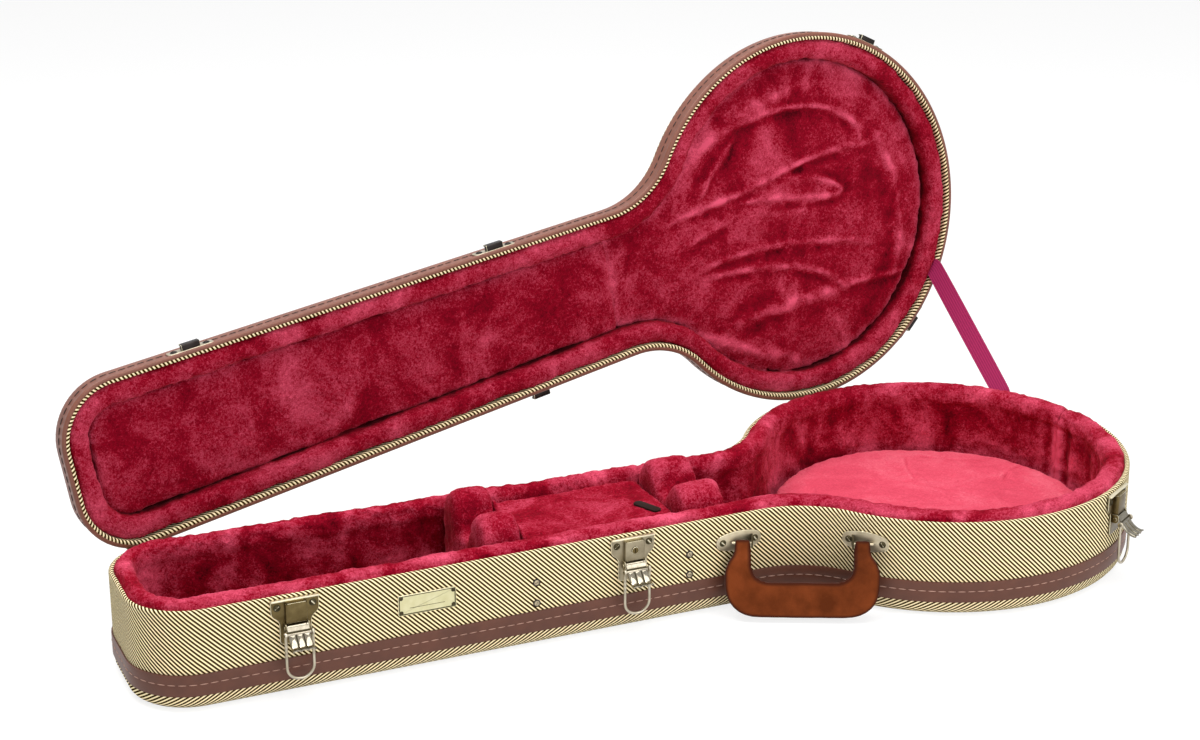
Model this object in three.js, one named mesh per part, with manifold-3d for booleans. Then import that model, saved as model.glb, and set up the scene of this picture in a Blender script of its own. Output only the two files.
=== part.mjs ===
// A hard case for a banjo, lying on its back with its lid open.
//
// The frame: +X runs along the neck from the head end to the pot, +Z is up, and the front wall,
// with its latches and handle, faces -Y. All sizes are in millimetres. The origin is on the
// surface that the case lies on, below the middle of its length. The plan is drawn from the head
// end, so the whole case is moved back by half its length at the end.
//
// Both halves follow one plan: a round pot, a slightly tapered neck and two hollow throats.
// The lid turns on an axis that touches the head corner and the pot, so it is skewed to the neck.

import * as THREE from "three";
import { mergeVertices } from "three/addons/utils/BufferGeometryUtils.js";
import Module from "manifold-3d";

const wasm = await Module();
wasm.setup();

// Driving sizes

const gap = 0.3; // air between two pieces that touch
const overrun = 2; // how far a cutting tool runs past the face that it cuts

const plan = {
  length: 1040,
  potRadius: 197,
  headHalfWidth: 83.5,
  waistHalfWidth: 76,
  neckRun: 608,
  headCorner: 58,
  throat: 90,
};

const shell = {
  baseHeight: 96,
  lidHeight: 32,
  ply: 5,
  panel: 6,
  seam: 14,
  edgeRound: 10,
  rimRound: 3,
};

const binding = { thickness: 1.2, chamfer: 0.8, width: 21, lidInset: 1.2 };

const strap = {
  width: 24,
  thickness: 1.5,
  pocket: 2.6,
  baseAngle: 36.5,
  lidAngle: 33.2,
  tail: 16,
  bow: 1.8,
  steps: 6,
};

const lining = {
  floor: 5,
  neckThickness: 14,
  potThickness: 18.5,
  roll: 5,
  standUp: 3.5,
  lidThickness: 19,
  lidSink: 4.6,
  lidSlope: 4,
  seamAngle: 9.7,
};

const lidPad = {
  neckDepth: 14,
  potDepth: 21,
  edge: 4,
  crown: 1.5,
  crownInset: 22,
  beforeThroat: 7.8,
};

const potPad = { clear: 4.9, top: 29, edge: 7, crown: 1.5, crownInset: 46, steps: 36 };

const rest = { length: 41, peak: 11.6, side: -3, notch: 16, depth: 26, edge: 4, draw: 9 };
const heel = {
  beforeThroat: 26.1,
  length: 48,
  peak: 11.6,
  side: -3,
  notch: 15,
  depth: 19,
  edge: 4,
  draw: 9,
};
const divider = { thickness: 5, drop: 5 };

const tray = { length: 157.5, panel: 8, sink: 3, side: 0.6, edge: 2 };
const tab = { width: 10, length: 31, thickness: 2, fromEnd: 21, y: -20, skew: -66, round: 4 };

const hinge = {
  offset: 3.6,
  drop: 10,
  knuckle: 2.8,
  pin: 1.1,
  bore: 1.45,
  length: 32,
  middleShare: 0.32,
  leaf: 1.5,
  baseLeaf: 24,
  lidLeaf: 19,
  lidClear: 2.1,
  runGap: 0.5,
  pinHead: 1.9,
  pinHeadLength: 1.2,
  open: 94.4,
};

const latch = {
  z: 70,
  halfWidth: 22.3,
  shoulder: 9,
  waist: 14.8,
  waistTop: -1,
  top: 23.5,
  bottom: -20,
  corner: 3,
  thickness: 1.4,
  lip: 4,
  housingHalf: 9.9,
  housingDepth: 7,
  housingWall: 1.2,
  housingBottom: 0.9,
  housingTop: 20.6,
  earIn: 10.1,
  ear: 1,
  earTop: 0.5,
  earBottom: -7.4,
  earDepth: 8,
  axisOut: 5.2,
  axisZ: -3.2,
  pin: 1.2,
  bore: 1.5,
  barrel: 3.3,
  leverHalf: 9.8,
  sheet: 2,
  screwX: 17,
  screwZ: 16,
  keyhole: 3.9,
};

const bail = {
  out: 11.5,
  z: -7.5,
  pin: 1.1,
  pinReach: 14.2,
  eyeIn: 11.5,
  eyeThickness: 2.2,
  eye: 2.9,
  eyeBore: 1.4,
  wire: 1.35,
  drop: 43.5,
  turn: 12,
};

const barrel = { radius: 3.5, proud: 0.6, slot: 1, slotDepth: 1, slotLength: 4.6, z: 11.5 };

const catchPlate = {
  halfWidth: 23,
  low: 2.2,
  high: 12.4,
  thickness: 1.2,
  corner: 3,
  hookHalf: 9.4,
  hookOut: 8.6,
  hookLow: 3.4,
  hookLip: 1.8,
  wall: 1.5,
  screwX: 16.6,
};

const screw = { radius: 3.4, top: 2.3, height: 1.2 };

const bracket = {
  beforeThroat: 25.3,
  pastThroat: 18.1,
  z: 69.5,
  out: 9,
  halfLength: 23,
  halfHeight: 10.5,
  thickness: 1.4,
  earHalf: 8.6,
  ear: 1.5,
  earLow: -4,
  hoodLow: 5.6,
  hoodHigh: 7,
  hoodReach: 4.4,
  pin: 1.5,
  screwX: 17.2,
};

const handle = {
  overhang: 9.6,
  drop: 70,
  grip: 34,
  legWidth: 14,
  thickness: 13,
  legThickness: 5,
  bevel: 2.5,
  bore: 1.9,
  eye: 3.4,
  tongue: 15,
  footRound: 34,
  inner: 12,
  tilt: 20,
};

// The nameplate stands between the head's latch and the divider's screws
const nameplate = {
  betweenShare: 0.536,
  z: 65.6,
  width: 56,
  height: 20,
  thickness: 1.2,
  corner: 1.5,
  pin: 1.3,
  pinHeight: 0.8,
};

const wallScrewLevels = { high: 64, low: 43 };

const latchPlaces = {
  headShare: 0.2312,
  frontBeforeThroat: 137.3,
  rearBeforeThroat: 115.8,
  potFrontAngle: 56,
  potRearAngle: 52.6,
};

// Values worked out from the driving sizes

const degrees = Math.PI / 180;
const rim = shell.baseHeight;
const lidTop = rim + shell.lidHeight;
const lidRim = rim + gap;
const floorTop = shell.panel + gap;
const liningFoot = floorTop + lining.floor + gap;
const liningBack = shell.ply + strap.pocket;
const neckInside = liningBack + lining.neckThickness;
const potInside = liningBack + lining.potThickness;
const lidInside = liningBack + lining.lidThickness;
const lidCeiling = lidTop - shell.panel - gap;

// The finish of each kind of piece

function finish(color, roughness, metalness) {
  return new THREE.MeshStandardMaterial({ color, roughness, metalness });
}

const finishes = {
  tweed: finish("#d8c48f", 0.85, 0),
  vinyl: finish("#6b4436", 0.5, 0),
  plush: finish("#a3163a", 0.95, 0),
  palePlush: finish("#d8405f", 0.95, 0),
  ply: finish("#b99a6b", 0.8, 0),
  nickel: finish("#a89a78", 0.35, 1),
  chrome: finish("#dcdcd8", 0.15, 1),
  leather: finish("#7a3a1c", 0.55, 0),
  webbing: finish("#b02a5e", 0.8, 0),
};

function part(name, geometry, material) {
  const mesh = new THREE.Mesh(geometry, material);
  mesh.name = name;
  return mesh;
}

// Solids: skins over rings of points, extruded shapes, and joins and cuts of them

function signedVolume(position, index) {
  const [a, b, c] = [new THREE.Vector3(), new THREE.Vector3(), new THREE.Vector3()];
  let volume = 0;
  for (let i = 0; i < index.length; i += 3) {
    a.fromBufferAttribute(position, index[i]);
    b.fromBufferAttribute(position, index[i + 1]);
    c.fromBufferAttribute(position, index[i + 2]);
    volume += a.dot(b.cross(c));
  }
  return volume;
}

function capTriangles(ring) {
  const normal = new THREE.Vector3();
  ring.forEach((p, i) => normal.add(p.clone().cross(ring[(i + 1) % ring.length])));
  normal.normalize();
  const across = ring[1].clone().sub(ring[0]).normalize();
  const up = normal.clone().cross(across);
  const flat = ring.map((p) => new THREE.Vector2(p.dot(across), p.dot(up)));
  return THREE.ShapeUtils.triangulateShape(flat, []);
}

// A closed solid over rings of points that all have the same count. A closed run joins its last
// ring to its first. Any other run is capped at both ends.
function skin(rings, closed = false) {
  const count = rings[0].length;
  const index = [];
  const spans = closed ? rings.length : rings.length - 1;
  for (let r = 0; r < spans; r++) {
    const next = (r + 1) % rings.length;
    for (let i = 0; i < count; i++) {
      const j = (i + 1) % count;
      const [a, b] = [r * count + i, r * count + j];
      const [c, d] = [next * count + i, next * count + j];
      index.push(a, b, d, a, d, c);
    }
  }
  if (!closed) {
    const last = (rings.length - 1) * count;
    for (const [i, j, k] of capTriangles(rings[0])) index.push(k, j, i);
    for (const [i, j, k] of capTriangles(rings[rings.length - 1])) index.push(last + i, last + j, last + k);
  }
  const geometry = new THREE.BufferGeometry().setFromPoints(rings.flat());
  if (signedVolume(geometry.getAttribute("position"), index) < 0) index.reverse();
  geometry.setIndex(index);
  return geometry;
}

function merged(geometry) {
  const plain = geometry.clone();
  plain.deleteAttribute("normal");
  plain.deleteAttribute("uv");
  return mergeVertices(plain, 1e-4);
}

function toSolid(geometry) {
  const plain = merged(geometry);
  return new wasm.Manifold(
    new wasm.Mesh({
      numProp: 3,
      vertProperties: new Float32Array(plain.getAttribute("position").array),
      triVerts: new Uint32Array(plain.index.array),
    }),
  );
}

function toGeometry(solid) {
  const { vertProperties, triVerts } = solid.getMesh();
  const geometry = new THREE.BufferGeometry();
  geometry.setAttribute("position", new THREE.BufferAttribute(new Float32Array(vertProperties), 3));
  geometry.setIndex(new THREE.BufferAttribute(new Uint32Array(triVerts), 1));
  return geometry;
}

function join(...geometries) {
  return toGeometry(geometries.map(toSolid).reduce((whole, next) => whole.add(next)));
}

function cut(body, ...tools) {
  return toGeometry(tools.map(toSolid).reduce((whole, tool) => whole.subtract(tool), toSolid(body)));
}

// A plate in the wall's own frame: its shape is drawn in X and Z, and it stands out towards -Y,
// from one distance out to another.
function standingPlate(shape, from, to, curveSegments = 4) {
  const options = { depth: to - from, bevelEnabled: false, curveSegments };
  const geometry = new THREE.ExtrudeGeometry(shape, options);
  return geometry.rotateX(90 * degrees).translate(0, -from, 0);
}

// A bar along X whose side view is drawn with its distance out from the wall and its height.
function sideProfile(points, xFrom, xTo) {
  const rings = [xFrom, xTo].map((x) => points.map(([out, z]) => new THREE.Vector3(x, -out, z)));
  return skin(rings);
}

function box(low, high) {
  const size = high.map((value, axis) => value - low[axis]);
  const middle = high.map((value, axis) => (value + low[axis]) / 2);
  return new THREE.BoxGeometry(...size).translate(...middle);
}

function rodAlongX(radius, xFrom, xTo, y, z, sides = 12) {
  const rod = new THREE.CylinderGeometry(radius, radius, xTo - xFrom, sides);
  return rod.rotateZ(90 * degrees).translate((xFrom + xTo) / 2, y, z);
}

// A round head that stands out from a face, as on a screw or a rivet.
function head(x, z, base, bottom = screw.radius, top = screw.top, height = screw.height) {
  const dome = new THREE.CylinderGeometry(bottom, top, height + gap, 10);
  return dome.translate(x, -base - (height - gap) / 2, z);
}

function roundedRectangle(xLow, zLow, xHigh, zHigh, radius) {
  const shape = new THREE.Shape();
  shape.moveTo(xLow + radius, zLow);
  shape.absarc(xHigh - radius, zLow + radius, radius, -90 * degrees, 0);
  shape.absarc(xHigh - radius, zHigh - radius, radius, 0, 90 * degrees);
  shape.absarc(xLow + radius, zHigh - radius, radius, 90 * degrees, 180 * degrees);
  shape.absarc(xLow + radius, zLow + radius, radius, 180 * degrees, 270 * degrees);
  return shape;
}

// The plan of the case. A place on it is the distance along the wall, from the middle of the
// head end, along the front, round the pot and back along the rear.

const potCentre = plan.length - plan.potRadius;
const taper = (plan.waistHalfWidth - plan.headHalfWidth) / plan.neckRun;
const lean = Math.hypot(1, taper);
const neckNormal = new THREE.Vector2(-taper, 1).divideScalar(lean);
const cornerCentre = new THREE.Vector2(
  plan.headCorner,
  plan.headHalfWidth + (taper - lean) * plan.headCorner,
);

function findThroatCentre() {
  const height = plan.headHalfWidth + plan.throat * lean;
  const a = 1 + taper * taper;
  const b = 2 * (taper * height - potCentre);
  const c = potCentre ** 2 + height ** 2 - (plan.potRadius + plan.throat) ** 2;
  const x = (-b - Math.sqrt(b * b - 4 * a * c)) / (2 * a);
  return new THREE.Vector2(x, height + taper * x);
}

const throatCentre = findThroatCentre();
const cornerEnd = neckNormal.clone().multiplyScalar(plan.headCorner).add(cornerCentre);
const throatStart = neckNormal.clone().multiplyScalar(-plan.throat).add(throatCentre);
const toPot = new THREE.Vector2(potCentre, 0).sub(throatCentre).angle() - 360 * degrees;
const potStart = toPot + 180 * degrees;

function linePiece(from, to, normal, steps) {
  const at = (share) => ({ point: from.clone().lerp(to, share), normal: normal.clone() });
  return { length: from.distanceTo(to), steps, at };
}

// facing is 1 on a convex arc, whose normal points away from its centre, and -1 on a hollow one
function arcPiece(centre, radius, from, to, facing, steps) {
  const at = (share) => {
    const angle = from + (to - from) * share;
    const ray = new THREE.Vector2(Math.cos(angle), Math.sin(angle));
    const point = ray.clone().multiplyScalar(radius).add(centre);
    return { point, normal: ray.multiplyScalar(facing) };
  };
  return { length: Math.abs(to - from) * radius, steps, at };
}

const wallPieces = [
  linePiece(new THREE.Vector2(0, 0), new THREE.Vector2(0, cornerCentre.y), new THREE.Vector2(-1, 0), 1),
  arcPiece(cornerCentre, plan.headCorner, 180 * degrees, neckNormal.angle(), 1, 6),
  linePiece(cornerEnd, throatStart, neckNormal, 1),
  arcPiece(throatCentre, plan.throat, neckNormal.angle() - 180 * degrees, toPot, -1, 5),
  arcPiece(new THREE.Vector2(potCentre, 0), plan.potRadius, potStart, 0, 1, 16),
];

const neckPlace = wallPieces[0].length + wallPieces[1].length;
const potPlace = neckPlace + wallPieces[2].length + wallPieces[3].length;
const halfWay = potPlace + wallPieces[4].length;
const wallLength = 2 * halfWay;

// The places that every sweep round the wall has in common. The strap's edges on the base and on
// the lid are among them, so that the wall and the lining are flat where the strap lies.
function findMarks() {
  const front = [];
  let start = 0;
  for (const piece of wallPieces) {
    for (let i = 0; i < piece.steps; i++) front.push(start + (piece.length * i) / piece.steps);
    start += piece.length;
  }
  const rear = front.slice(1).map((place) => wallLength - place);
  const edges = [strap.baseAngle, strap.lidAngle].flatMap((angle) => {
    const middle = aroundPot(angle * degrees);
    return [middle - strap.width / 2, middle + strap.width / 2];
  });
  const apart = (mark) => edges.every((edge) => Math.abs(mark - edge) > strap.width / 3);
  return [...front, halfWay, ...rear].filter(apart).concat(edges).sort((a, b) => a - b);
}

const marks = findMarks();

// The point and outward normal of the wall at a place
function wallAt(place) {
  const turned = ((place % wallLength) + wallLength) % wallLength;
  const side = turned <= halfWay ? -1 : 1;
  let left = turned <= halfWay ? turned : wallLength - turned;
  let piece = wallPieces[0];
  for (const next of wallPieces) {
    piece = next;
    if (left <= next.length) break;
    if (next !== wallPieces[wallPieces.length - 1]) left -= next.length;
  }
  const { point, normal } = piece.at(Math.min(left / piece.length, 1));
  return { x: point.x, y: side * point.y, nx: normal.x, ny: side * normal.y };
}

function frontNeck(x) {
  return neckPlace + (x - cornerEnd.x) * lean;
}

function rearNeck(x) {
  return wallLength - frontNeck(x);
}

// A place on the pot, by its angle from +X. The front has negative angles.
function aroundPot(angle) {
  const along = (potStart - Math.abs(angle)) * plan.potRadius;
  return angle <= 0 ? potPlace + along : wallLength - potPlace - along;
}

function halfWidthAt(x) {
  return plan.headHalfWidth + taper * x;
}

function placesBetween(from, to) {
  const all = [...marks, ...marks.map((mark) => mark + wallLength)];
  return [from, ...all.filter((mark) => mark > from + gap && mark < to - gap), to];
}

// Carries a section, drawn as distances out from the wall and heights, along the wall
function sweep(section, from, to) {
  const closed = from === undefined;
  const places = closed ? marks : placesBetween(from, to);
  const rings = places.map((place) => {
    const at = wallAt(place);
    return section.map(([out, z]) => new THREE.Vector3(at.x + out * at.nx, at.y + out * at.ny, z));
  });
  return skin(rings, closed);
}

// Stacks outlines of the plan, each at a distance out from the wall and at a height
function stack(levels, places = marks) {
  const rings = levels.map(([out, z]) =>
    places.map((place) => {
      const at = wallAt(place);
      return new THREE.Vector3(at.x + out * at.nx, at.y + out * at.ny, z);
    }),
  );
  return skin(rings);
}

function quarterRound(radius, steps) {
  const points = [];
  for (let i = 0; i <= steps; i++) {
    const angle = (90 * degrees * i) / steps;
    points.push([radius * (Math.sin(angle) - 1), radius * (1 - Math.cos(angle))]);
  }
  return points;
}

// The hinge axis touches the rear of the head corner and of the pot, and stands off both

function findHingeLine() {
  const head2pot = new THREE.Vector2(potCentre - cornerCentre.x, -cornerCentre.y);
  const distance = head2pot.length();
  const along = head2pot.divideScalar(distance);
  const cosine = (plan.headCorner - plan.potRadius) / distance;
  const sideways = new THREE.Vector2(-along.y, along.x).multiplyScalar(Math.sqrt(1 - cosine ** 2));
  const normal = along.clone().multiplyScalar(cosine).add(sideways);
  return { normal, direction: new THREE.Vector2(normal.y, -normal.x) };
}

const hingeLine = findHingeLine();
const hingeZ = rim - hinge.drop;
const hingeAngle = hingeLine.direction.angle();

function hingePoint(centre, radius) {
  const foot = hingeLine.normal.clone().multiplyScalar(radius + hinge.offset).add(centre);
  return new THREE.Vector3(foot.x, foot.y, hingeZ);
}

const headHinge = hingePoint(cornerCentre, plan.headCorner);
const potHinge = hingePoint(new THREE.Vector2(potCentre, 0), plan.potRadius);
const hingeAxis = new THREE.Vector3(hingeLine.direction.x, hingeLine.direction.y, 0);

// Where a point of the closed lid stands when the lid is open
function opened(point) {
  const turned = point.clone().sub(headHinge).applyAxisAngle(hingeAxis, -hinge.open * degrees);
  return turned.add(headHinge);
}

// The shells of the base and the lid

function shellEdge() {
  return quarterRound(shell.edgeRound, 3);
}

function baseBottom() {
  const inner = [[-shell.ply, shell.seam], [-shell.ply, shell.panel]];
  return stack([...shellEdge(), [0, shell.seam], ...inner]);
}

function lidTopPanel() {
  const levels = [...shellEdge(), [0, shell.seam], [-shell.ply, shell.seam], [-shell.ply, shell.panel]];
  return stack(levels.map(([out, depth]) => [out, lidTop - depth]));
}

// A wall ring from its seam to its rounded rim, which faces up on the base and down on the lid
function wallRing(seamZ, rimZ) {
  const up = Math.sign(rimZ - seamZ);
  const round = quarterRound(shell.rimRound, 3).map(([out, depth]) => [out, rimZ - up * depth]);
  const foot = seamZ + up * gap;
  return sweep([[0, foot], ...round.reverse(), [-shell.ply, rimZ], [-shell.ply, foot]]);
}

function bindingRing(low, high) {
  const outer = gap + binding.thickness;
  const edge = binding.chamfer;
  return sweep([[gap, low], [outer, low + edge], [outer, high - edge], [gap, high]]);
}

// The soft lining

// The soft roll along the top of a padded wall, as shares of its half width and of its height
const rollShares = [
  [-1, 0],
  [-0.8, 0.5],
  [-0.4, 0.9],
  [0.4, 0.9],
  [0.8, 0.5],
  [1, 0],
];

function rollSection(back, front, foot, top) {
  const middle = (back + front) / 2;
  const half = (front - back) / 2;
  const low = top - lining.roll;
  const roll = rollShares.map(([across, up]) => [-(middle + across * half), low + up * lining.roll]);
  return [[-back, foot], ...roll, [-front, foot]];
}

function baseLining(from, to, inside) {
  return sweep(rollSection(liningBack, inside, liningFoot, rim + lining.standUp), from, to);
}

function lidWallLining() {
  const low = rim + lining.lidSink;
  const slope = lining.lidSlope;
  const section = [
    [-liningBack, low],
    [-(lidInside - slope), low],
    [-(lidInside - slope / 4), low + slope / 2],
    [-lidInside, low + 2 * slope],
    [-lidInside, lidCeiling],
    [-liningBack, lidCeiling],
  ];
  return sweep(section);
}

// A crowned pad that fills the lid inside its wall lining, on one side of the split
function lidPadSolid(from, to, depth) {
  const face = rim + depth;
  const inset = lidInside + gap;
  const levels = [
    [-inset, lidCeiling],
    [-inset, face + lidPad.edge],
    [-(inset + lidPad.edge / 3), face + lidPad.edge / 3],
    [-(inset + lidPad.edge), face],
    [-(inset + lidPad.crownInset), face - lidPad.crown],
  ];
  return stack(levels, placesBetween(from, to));
}

function potPadSolid() {
  const low = liningFoot;
  const { top, edge, crown, crownInset, steps } = potPad;
  const radius = plan.potRadius - potInside - potPad.clear;
  const profile = [
    [0, low],
    [radius - edge, low],
    [radius, low + edge],
    [radius, top - edge],
    [radius - edge / 3, top - edge / 3],
    [radius - edge, top],
    [radius - crownInset, top + crown],
    [0, top + crown],
  ].map(([r, z]) => new THREE.Vector2(r, z));
  return new THREE.LatheGeometry(profile, steps).rotateX(90 * degrees).translate(potCentre, 0, 0);
}

// Half of a rest's top, from the middle of its notch out to its side. The first points are shares
// of the notch's half width and depth, and the others are shares of the post's width and its fall.
const notchShares = [
  [0, 1],
  [0.55, 0.9],
  [0.95, 0.55],
];
const postShares = [
  [0.12, 0.3],
  [0.36, 0],
  [0.68, 0.12],
  [0.9, 0.48],
  [1, 1],
];

// A block across the neck with a soft notch between two rounded posts. Its inset draws in the
// sides and the crown towards the ends.
function restSection(sizes, halfWidth, inset) {
  const peak = rim + sizes.peak - inset;
  const fall = sizes.peak - sizes.side;
  const post = halfWidth - inset / 2 - sizes.notch;
  const notch = notchShares.map(([across, down]) => [
    sizes.notch * across,
    peak - sizes.depth * down + inset / 2,
  ]);
  const posts = postShares.map(([across, down]) => [sizes.notch + post * across, peak - fall * down]);
  const half = [...notch, ...posts, [sizes.notch + post, liningFoot]];
  const mirrored = half.slice(1).map(([y, z]) => [-y, z]);
  return [...half, ...mirrored.reverse()];
}

function restBlock(sizes, from) {
  const to = from + sizes.length;
  const halfWidth = halfWidthAt(to) - neckInside - gap;
  const stations = [
    [from, sizes.edge],
    [from + sizes.edge, sizes.edge / 4],
    [from + sizes.draw, 0],
    [to - sizes.draw, 0],
    [to - sizes.edge, sizes.edge / 4],
    [to, sizes.edge],
  ];
  const rings = stations.map(([x, inset]) =>
    restSection(sizes, halfWidth, inset).map(([y, z]) => new THREE.Vector3(x, y, z)),
  );
  return skin(rings);
}

// The rests, the divider and the tray stand in a row that ends before the throat
const heelEnd = throatStart.x - heel.beforeThroat;
const heelStart = heelEnd - heel.length;
const trayEnd = heelStart - tray.side;
const trayStart = trayEnd - tray.length;
const trayTop = rim - tray.sink;
const heelDividerStart = trayEnd - divider.thickness;
const dividerStart = trayStart - gap - divider.thickness;
const restStart = dividerStart - gap - rest.length;

function neckDivider() {
  const end = dividerStart + divider.thickness;
  const halfWidth = halfWidthAt(end) - neckInside - gap;
  const rings = [dividerStart, end].map((x) =>
    restSection(rest, halfWidth, divider.drop).map(([y, z]) => new THREE.Vector3(x, y, z)),
  );
  return skin(rings);
}

function heelDivider() {
  const halfWidth = halfWidthAt(trayEnd) - neckInside - gap;
  const top = trayTop - tray.panel - gap;
  return box([heelDividerStart, -halfWidth, liningFoot], [trayEnd, halfWidth, top]);
}

// The plush-covered lid of the accessory tray, with its soft edge
const trayHalf = halfWidthAt(trayEnd) - neckInside - tray.side;

function trayLid() {
  const levels = [
    [tray.edge, trayTop - tray.panel],
    [0, trayTop - tray.panel + tray.edge],
    [0, trayTop - tray.edge],
    [tray.edge, trayTop],
  ];
  const rings = levels.map(([inset, z]) => [
    new THREE.Vector3(trayStart + inset, -trayHalf + inset, z),
    new THREE.Vector3(trayEnd - inset, -trayHalf + inset, z),
    new THREE.Vector3(trayEnd - inset, trayHalf - inset, z),
    new THREE.Vector3(trayStart + inset, trayHalf - inset, z),
  ]);
  return skin(rings);
}

function pullTab() {
  const half = tab.width / 2;
  const shape = roundedRectangle(-tab.length / 2, -half, tab.length / 2, half, tab.round);
  const options = { depth: tab.thickness, bevelEnabled: false, curveSegments: 3 };
  const geometry = new THREE.ExtrudeGeometry(shape, options).rotateZ(tab.skew * degrees);
  return geometry.translate(trayEnd - tab.fromEnd, tab.y, trayTop + gap);
}

// Hinges, made at a point of the axis, with X along it and Y out from the case

function onHinge(geometry, point) {
  return geometry.rotateZ(hingeAngle).translate(point.x, point.y, point.z);
}

function knuckle(from, to) {
  const tube = rodAlongX(hinge.knuckle, from, to, 0, 0);
  return cut(tube, rodAlongX(hinge.bore, from - overrun, to + overrun, 0, 0));
}

// The wall places on both sides of the point where the hinge line touches a round of the wall
function hingePlaces(place, radius) {
  const half = (hinge.length / 2) * ((radius + hinge.offset) / (radius + hinge.offset + hinge.leaf));
  return [place - half, place + half];
}

const cornerTurn = (hingeLine.normal.angle() - neckNormal.angle()) * plan.headCorner;
const cornerTouch = wallLength - neckPlace + cornerTurn;
const potTouch = aroundPot(hingeLine.normal.angle());

const hingeSpots = [
  { name: "head", point: headHinge, places: hingePlaces(cornerTouch, plan.headCorner) },
  { name: "pot", point: potHinge, places: hingePlaces(potTouch, plan.potRadius) },
];

const middleKnuckle = (hinge.length * hinge.middleShare) / 2;

function baseLeaf(spot) {
  const outer = gap + hinge.leaf;
  const foot = hingeZ - hinge.baseLeaf;
  const section = [[gap, foot], [outer, foot], [outer, hingeZ], [gap, hingeZ]];
  const webTop = -hinge.pin - gap;
  const webs = [-1, 1].map((side) => {
    const [near, far] = [side * (middleKnuckle + hinge.runGap), (side * hinge.length) / 2];
    const [from, to] = [Math.min(near, far), Math.max(near, far)];
    const bore = rodAlongX(hinge.bore, from - overrun, to + overrun, 0, 0);
    const web = cut(box([from, -hinge.offset + gap, webTop - hinge.leaf], [to, 0, webTop]), bore);
    return onHinge(join(web, knuckle(from, to)), spot.point);
  });
  const leaf = cut(sweep(section, ...spot.places), onHinge(hingeRoom(), spot.point));
  return join(leaf, ...webs);
}

// The room that the middle knuckle turns in, and the pin's bore
function hingeRoom() {
  const reach = middleKnuckle + hinge.runGap;
  const room = rodAlongX(hinge.knuckle + hinge.runGap, -reach, reach, 0, 0);
  const half = hinge.length / 2 + overrun;
  return join(room, rodAlongX(hinge.bore, -half, half, 0, 0));
}

function lidLeaf(spot) {
  const outer = hinge.lidClear + hinge.leaf;
  const low = hingeZ + hinge.knuckle + hinge.runGap;
  const high = rim + hinge.lidLeaf;
  const section = [[hinge.lidClear, low], [outer, low], [outer, high], [hinge.lidClear, high]];
  const back = -hinge.offset + hinge.lidClear;
  const front = back + hinge.leaf;
  const top = low - hingeZ + hinge.leaf;
  const tongue = box([-middleKnuckle, back, hinge.bore], [middleKnuckle, front, top]);
  const moving = onHinge(join(tongue, knuckle(-middleKnuckle, middleKnuckle)), spot.point);
  return join(sweep(section, ...spot.places), moving);
}

function hingePin(spot) {
  const half = hinge.length / 2 + gap;
  const pin = rodAlongX(hinge.pin, -half, half, 0, 0, 10);
  const heads = [-1, 1].map((side) => {
    const ends = [side * half, side * (half + hinge.pinHeadLength)].sort((a, b) => a - b);
    return rodAlongX(hinge.pinHead, ...ends, 0, 0, 10);
  });
  return onHinge(join(pin, ...heads), spot.point);
}

// Latches, made in a frame at the wall's face with X along the wall and -Y out

function latchPlate(keyed) {
  const { halfWidth, shoulder, waist, waistTop, top, bottom, corner, thickness } = latch;
  const shape = new THREE.Shape();
  shape.moveTo(-waist + corner, bottom);
  shape.lineTo(waist - corner, bottom);
  shape.quadraticCurveTo(waist, bottom, waist, bottom + corner);
  shape.lineTo(waist, waistTop);
  shape.quadraticCurveTo(waist, shoulder / 2, halfWidth, shoulder);
  shape.lineTo(halfWidth, top);
  shape.lineTo(-halfWidth, top);
  shape.lineTo(-halfWidth, shoulder);
  shape.quadraticCurveTo(-waist, shoulder / 2, -waist, waistTop);
  shape.lineTo(-waist, bottom + corner);
  shape.quadraticCurveTo(-waist, bottom, -waist + corner, bottom);
  const face = gap + thickness;
  const back = gap + thickness / 2;
  const lip = box([-halfWidth, -gap - latch.lip, top - thickness], [halfWidth, -gap, top]);
  const { housingHalf, housingDepth, housingWall, housingBottom, housingTop } = latch;
  const hollow = cut(
    box([-housingHalf, -housingDepth, housingBottom], [housingHalf, -back, housingTop]),
    box([-housingHalf + housingWall, -housingDepth + housingWall, housingBottom - overrun],
      [housingHalf - housingWall, overrun, housingTop + overrun]),
  );
  const hole = new THREE.CylinderGeometry(latch.keyhole, latch.keyhole, housingDepth, 16);
  const housing = keyed ? cut(hollow, hole.translate(0, -housingDepth, barrel.z)) : hollow;
  const ears = [-1, 1].map((side) => {
    const ends = [side * latch.earIn, side * (latch.earIn + latch.ear)].sort((a, b) => a - b);
    return box([ends[0], -latch.earDepth, latch.earBottom], [ends[1], -back, latch.earTop]);
  });
  const reach = latch.earIn + latch.ear;
  const pin = rodAlongX(latch.pin, -reach, reach, -latch.axisOut, latch.axisZ, 10);
  const screws = [-1, 1].map((side) => head(side * latch.screwX, latch.screwZ, face));
  return join(standingPlate(shape, gap, face), lip, housing, ...ears, pin, ...screws);
}

// The scoop of the lever's thumb plate, from the barrel out to its curled tip, as shares of the
// barrel's radius out from its axis and down from it
const scoopShares = [
  [0, 0.9],
  [1, -0.1],
  [1.9, -0.9],
  [2.8, -2.4],
  [4, -3.9],
  [5.5, -4.7],
  [6.7, -4.8],
];

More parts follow.
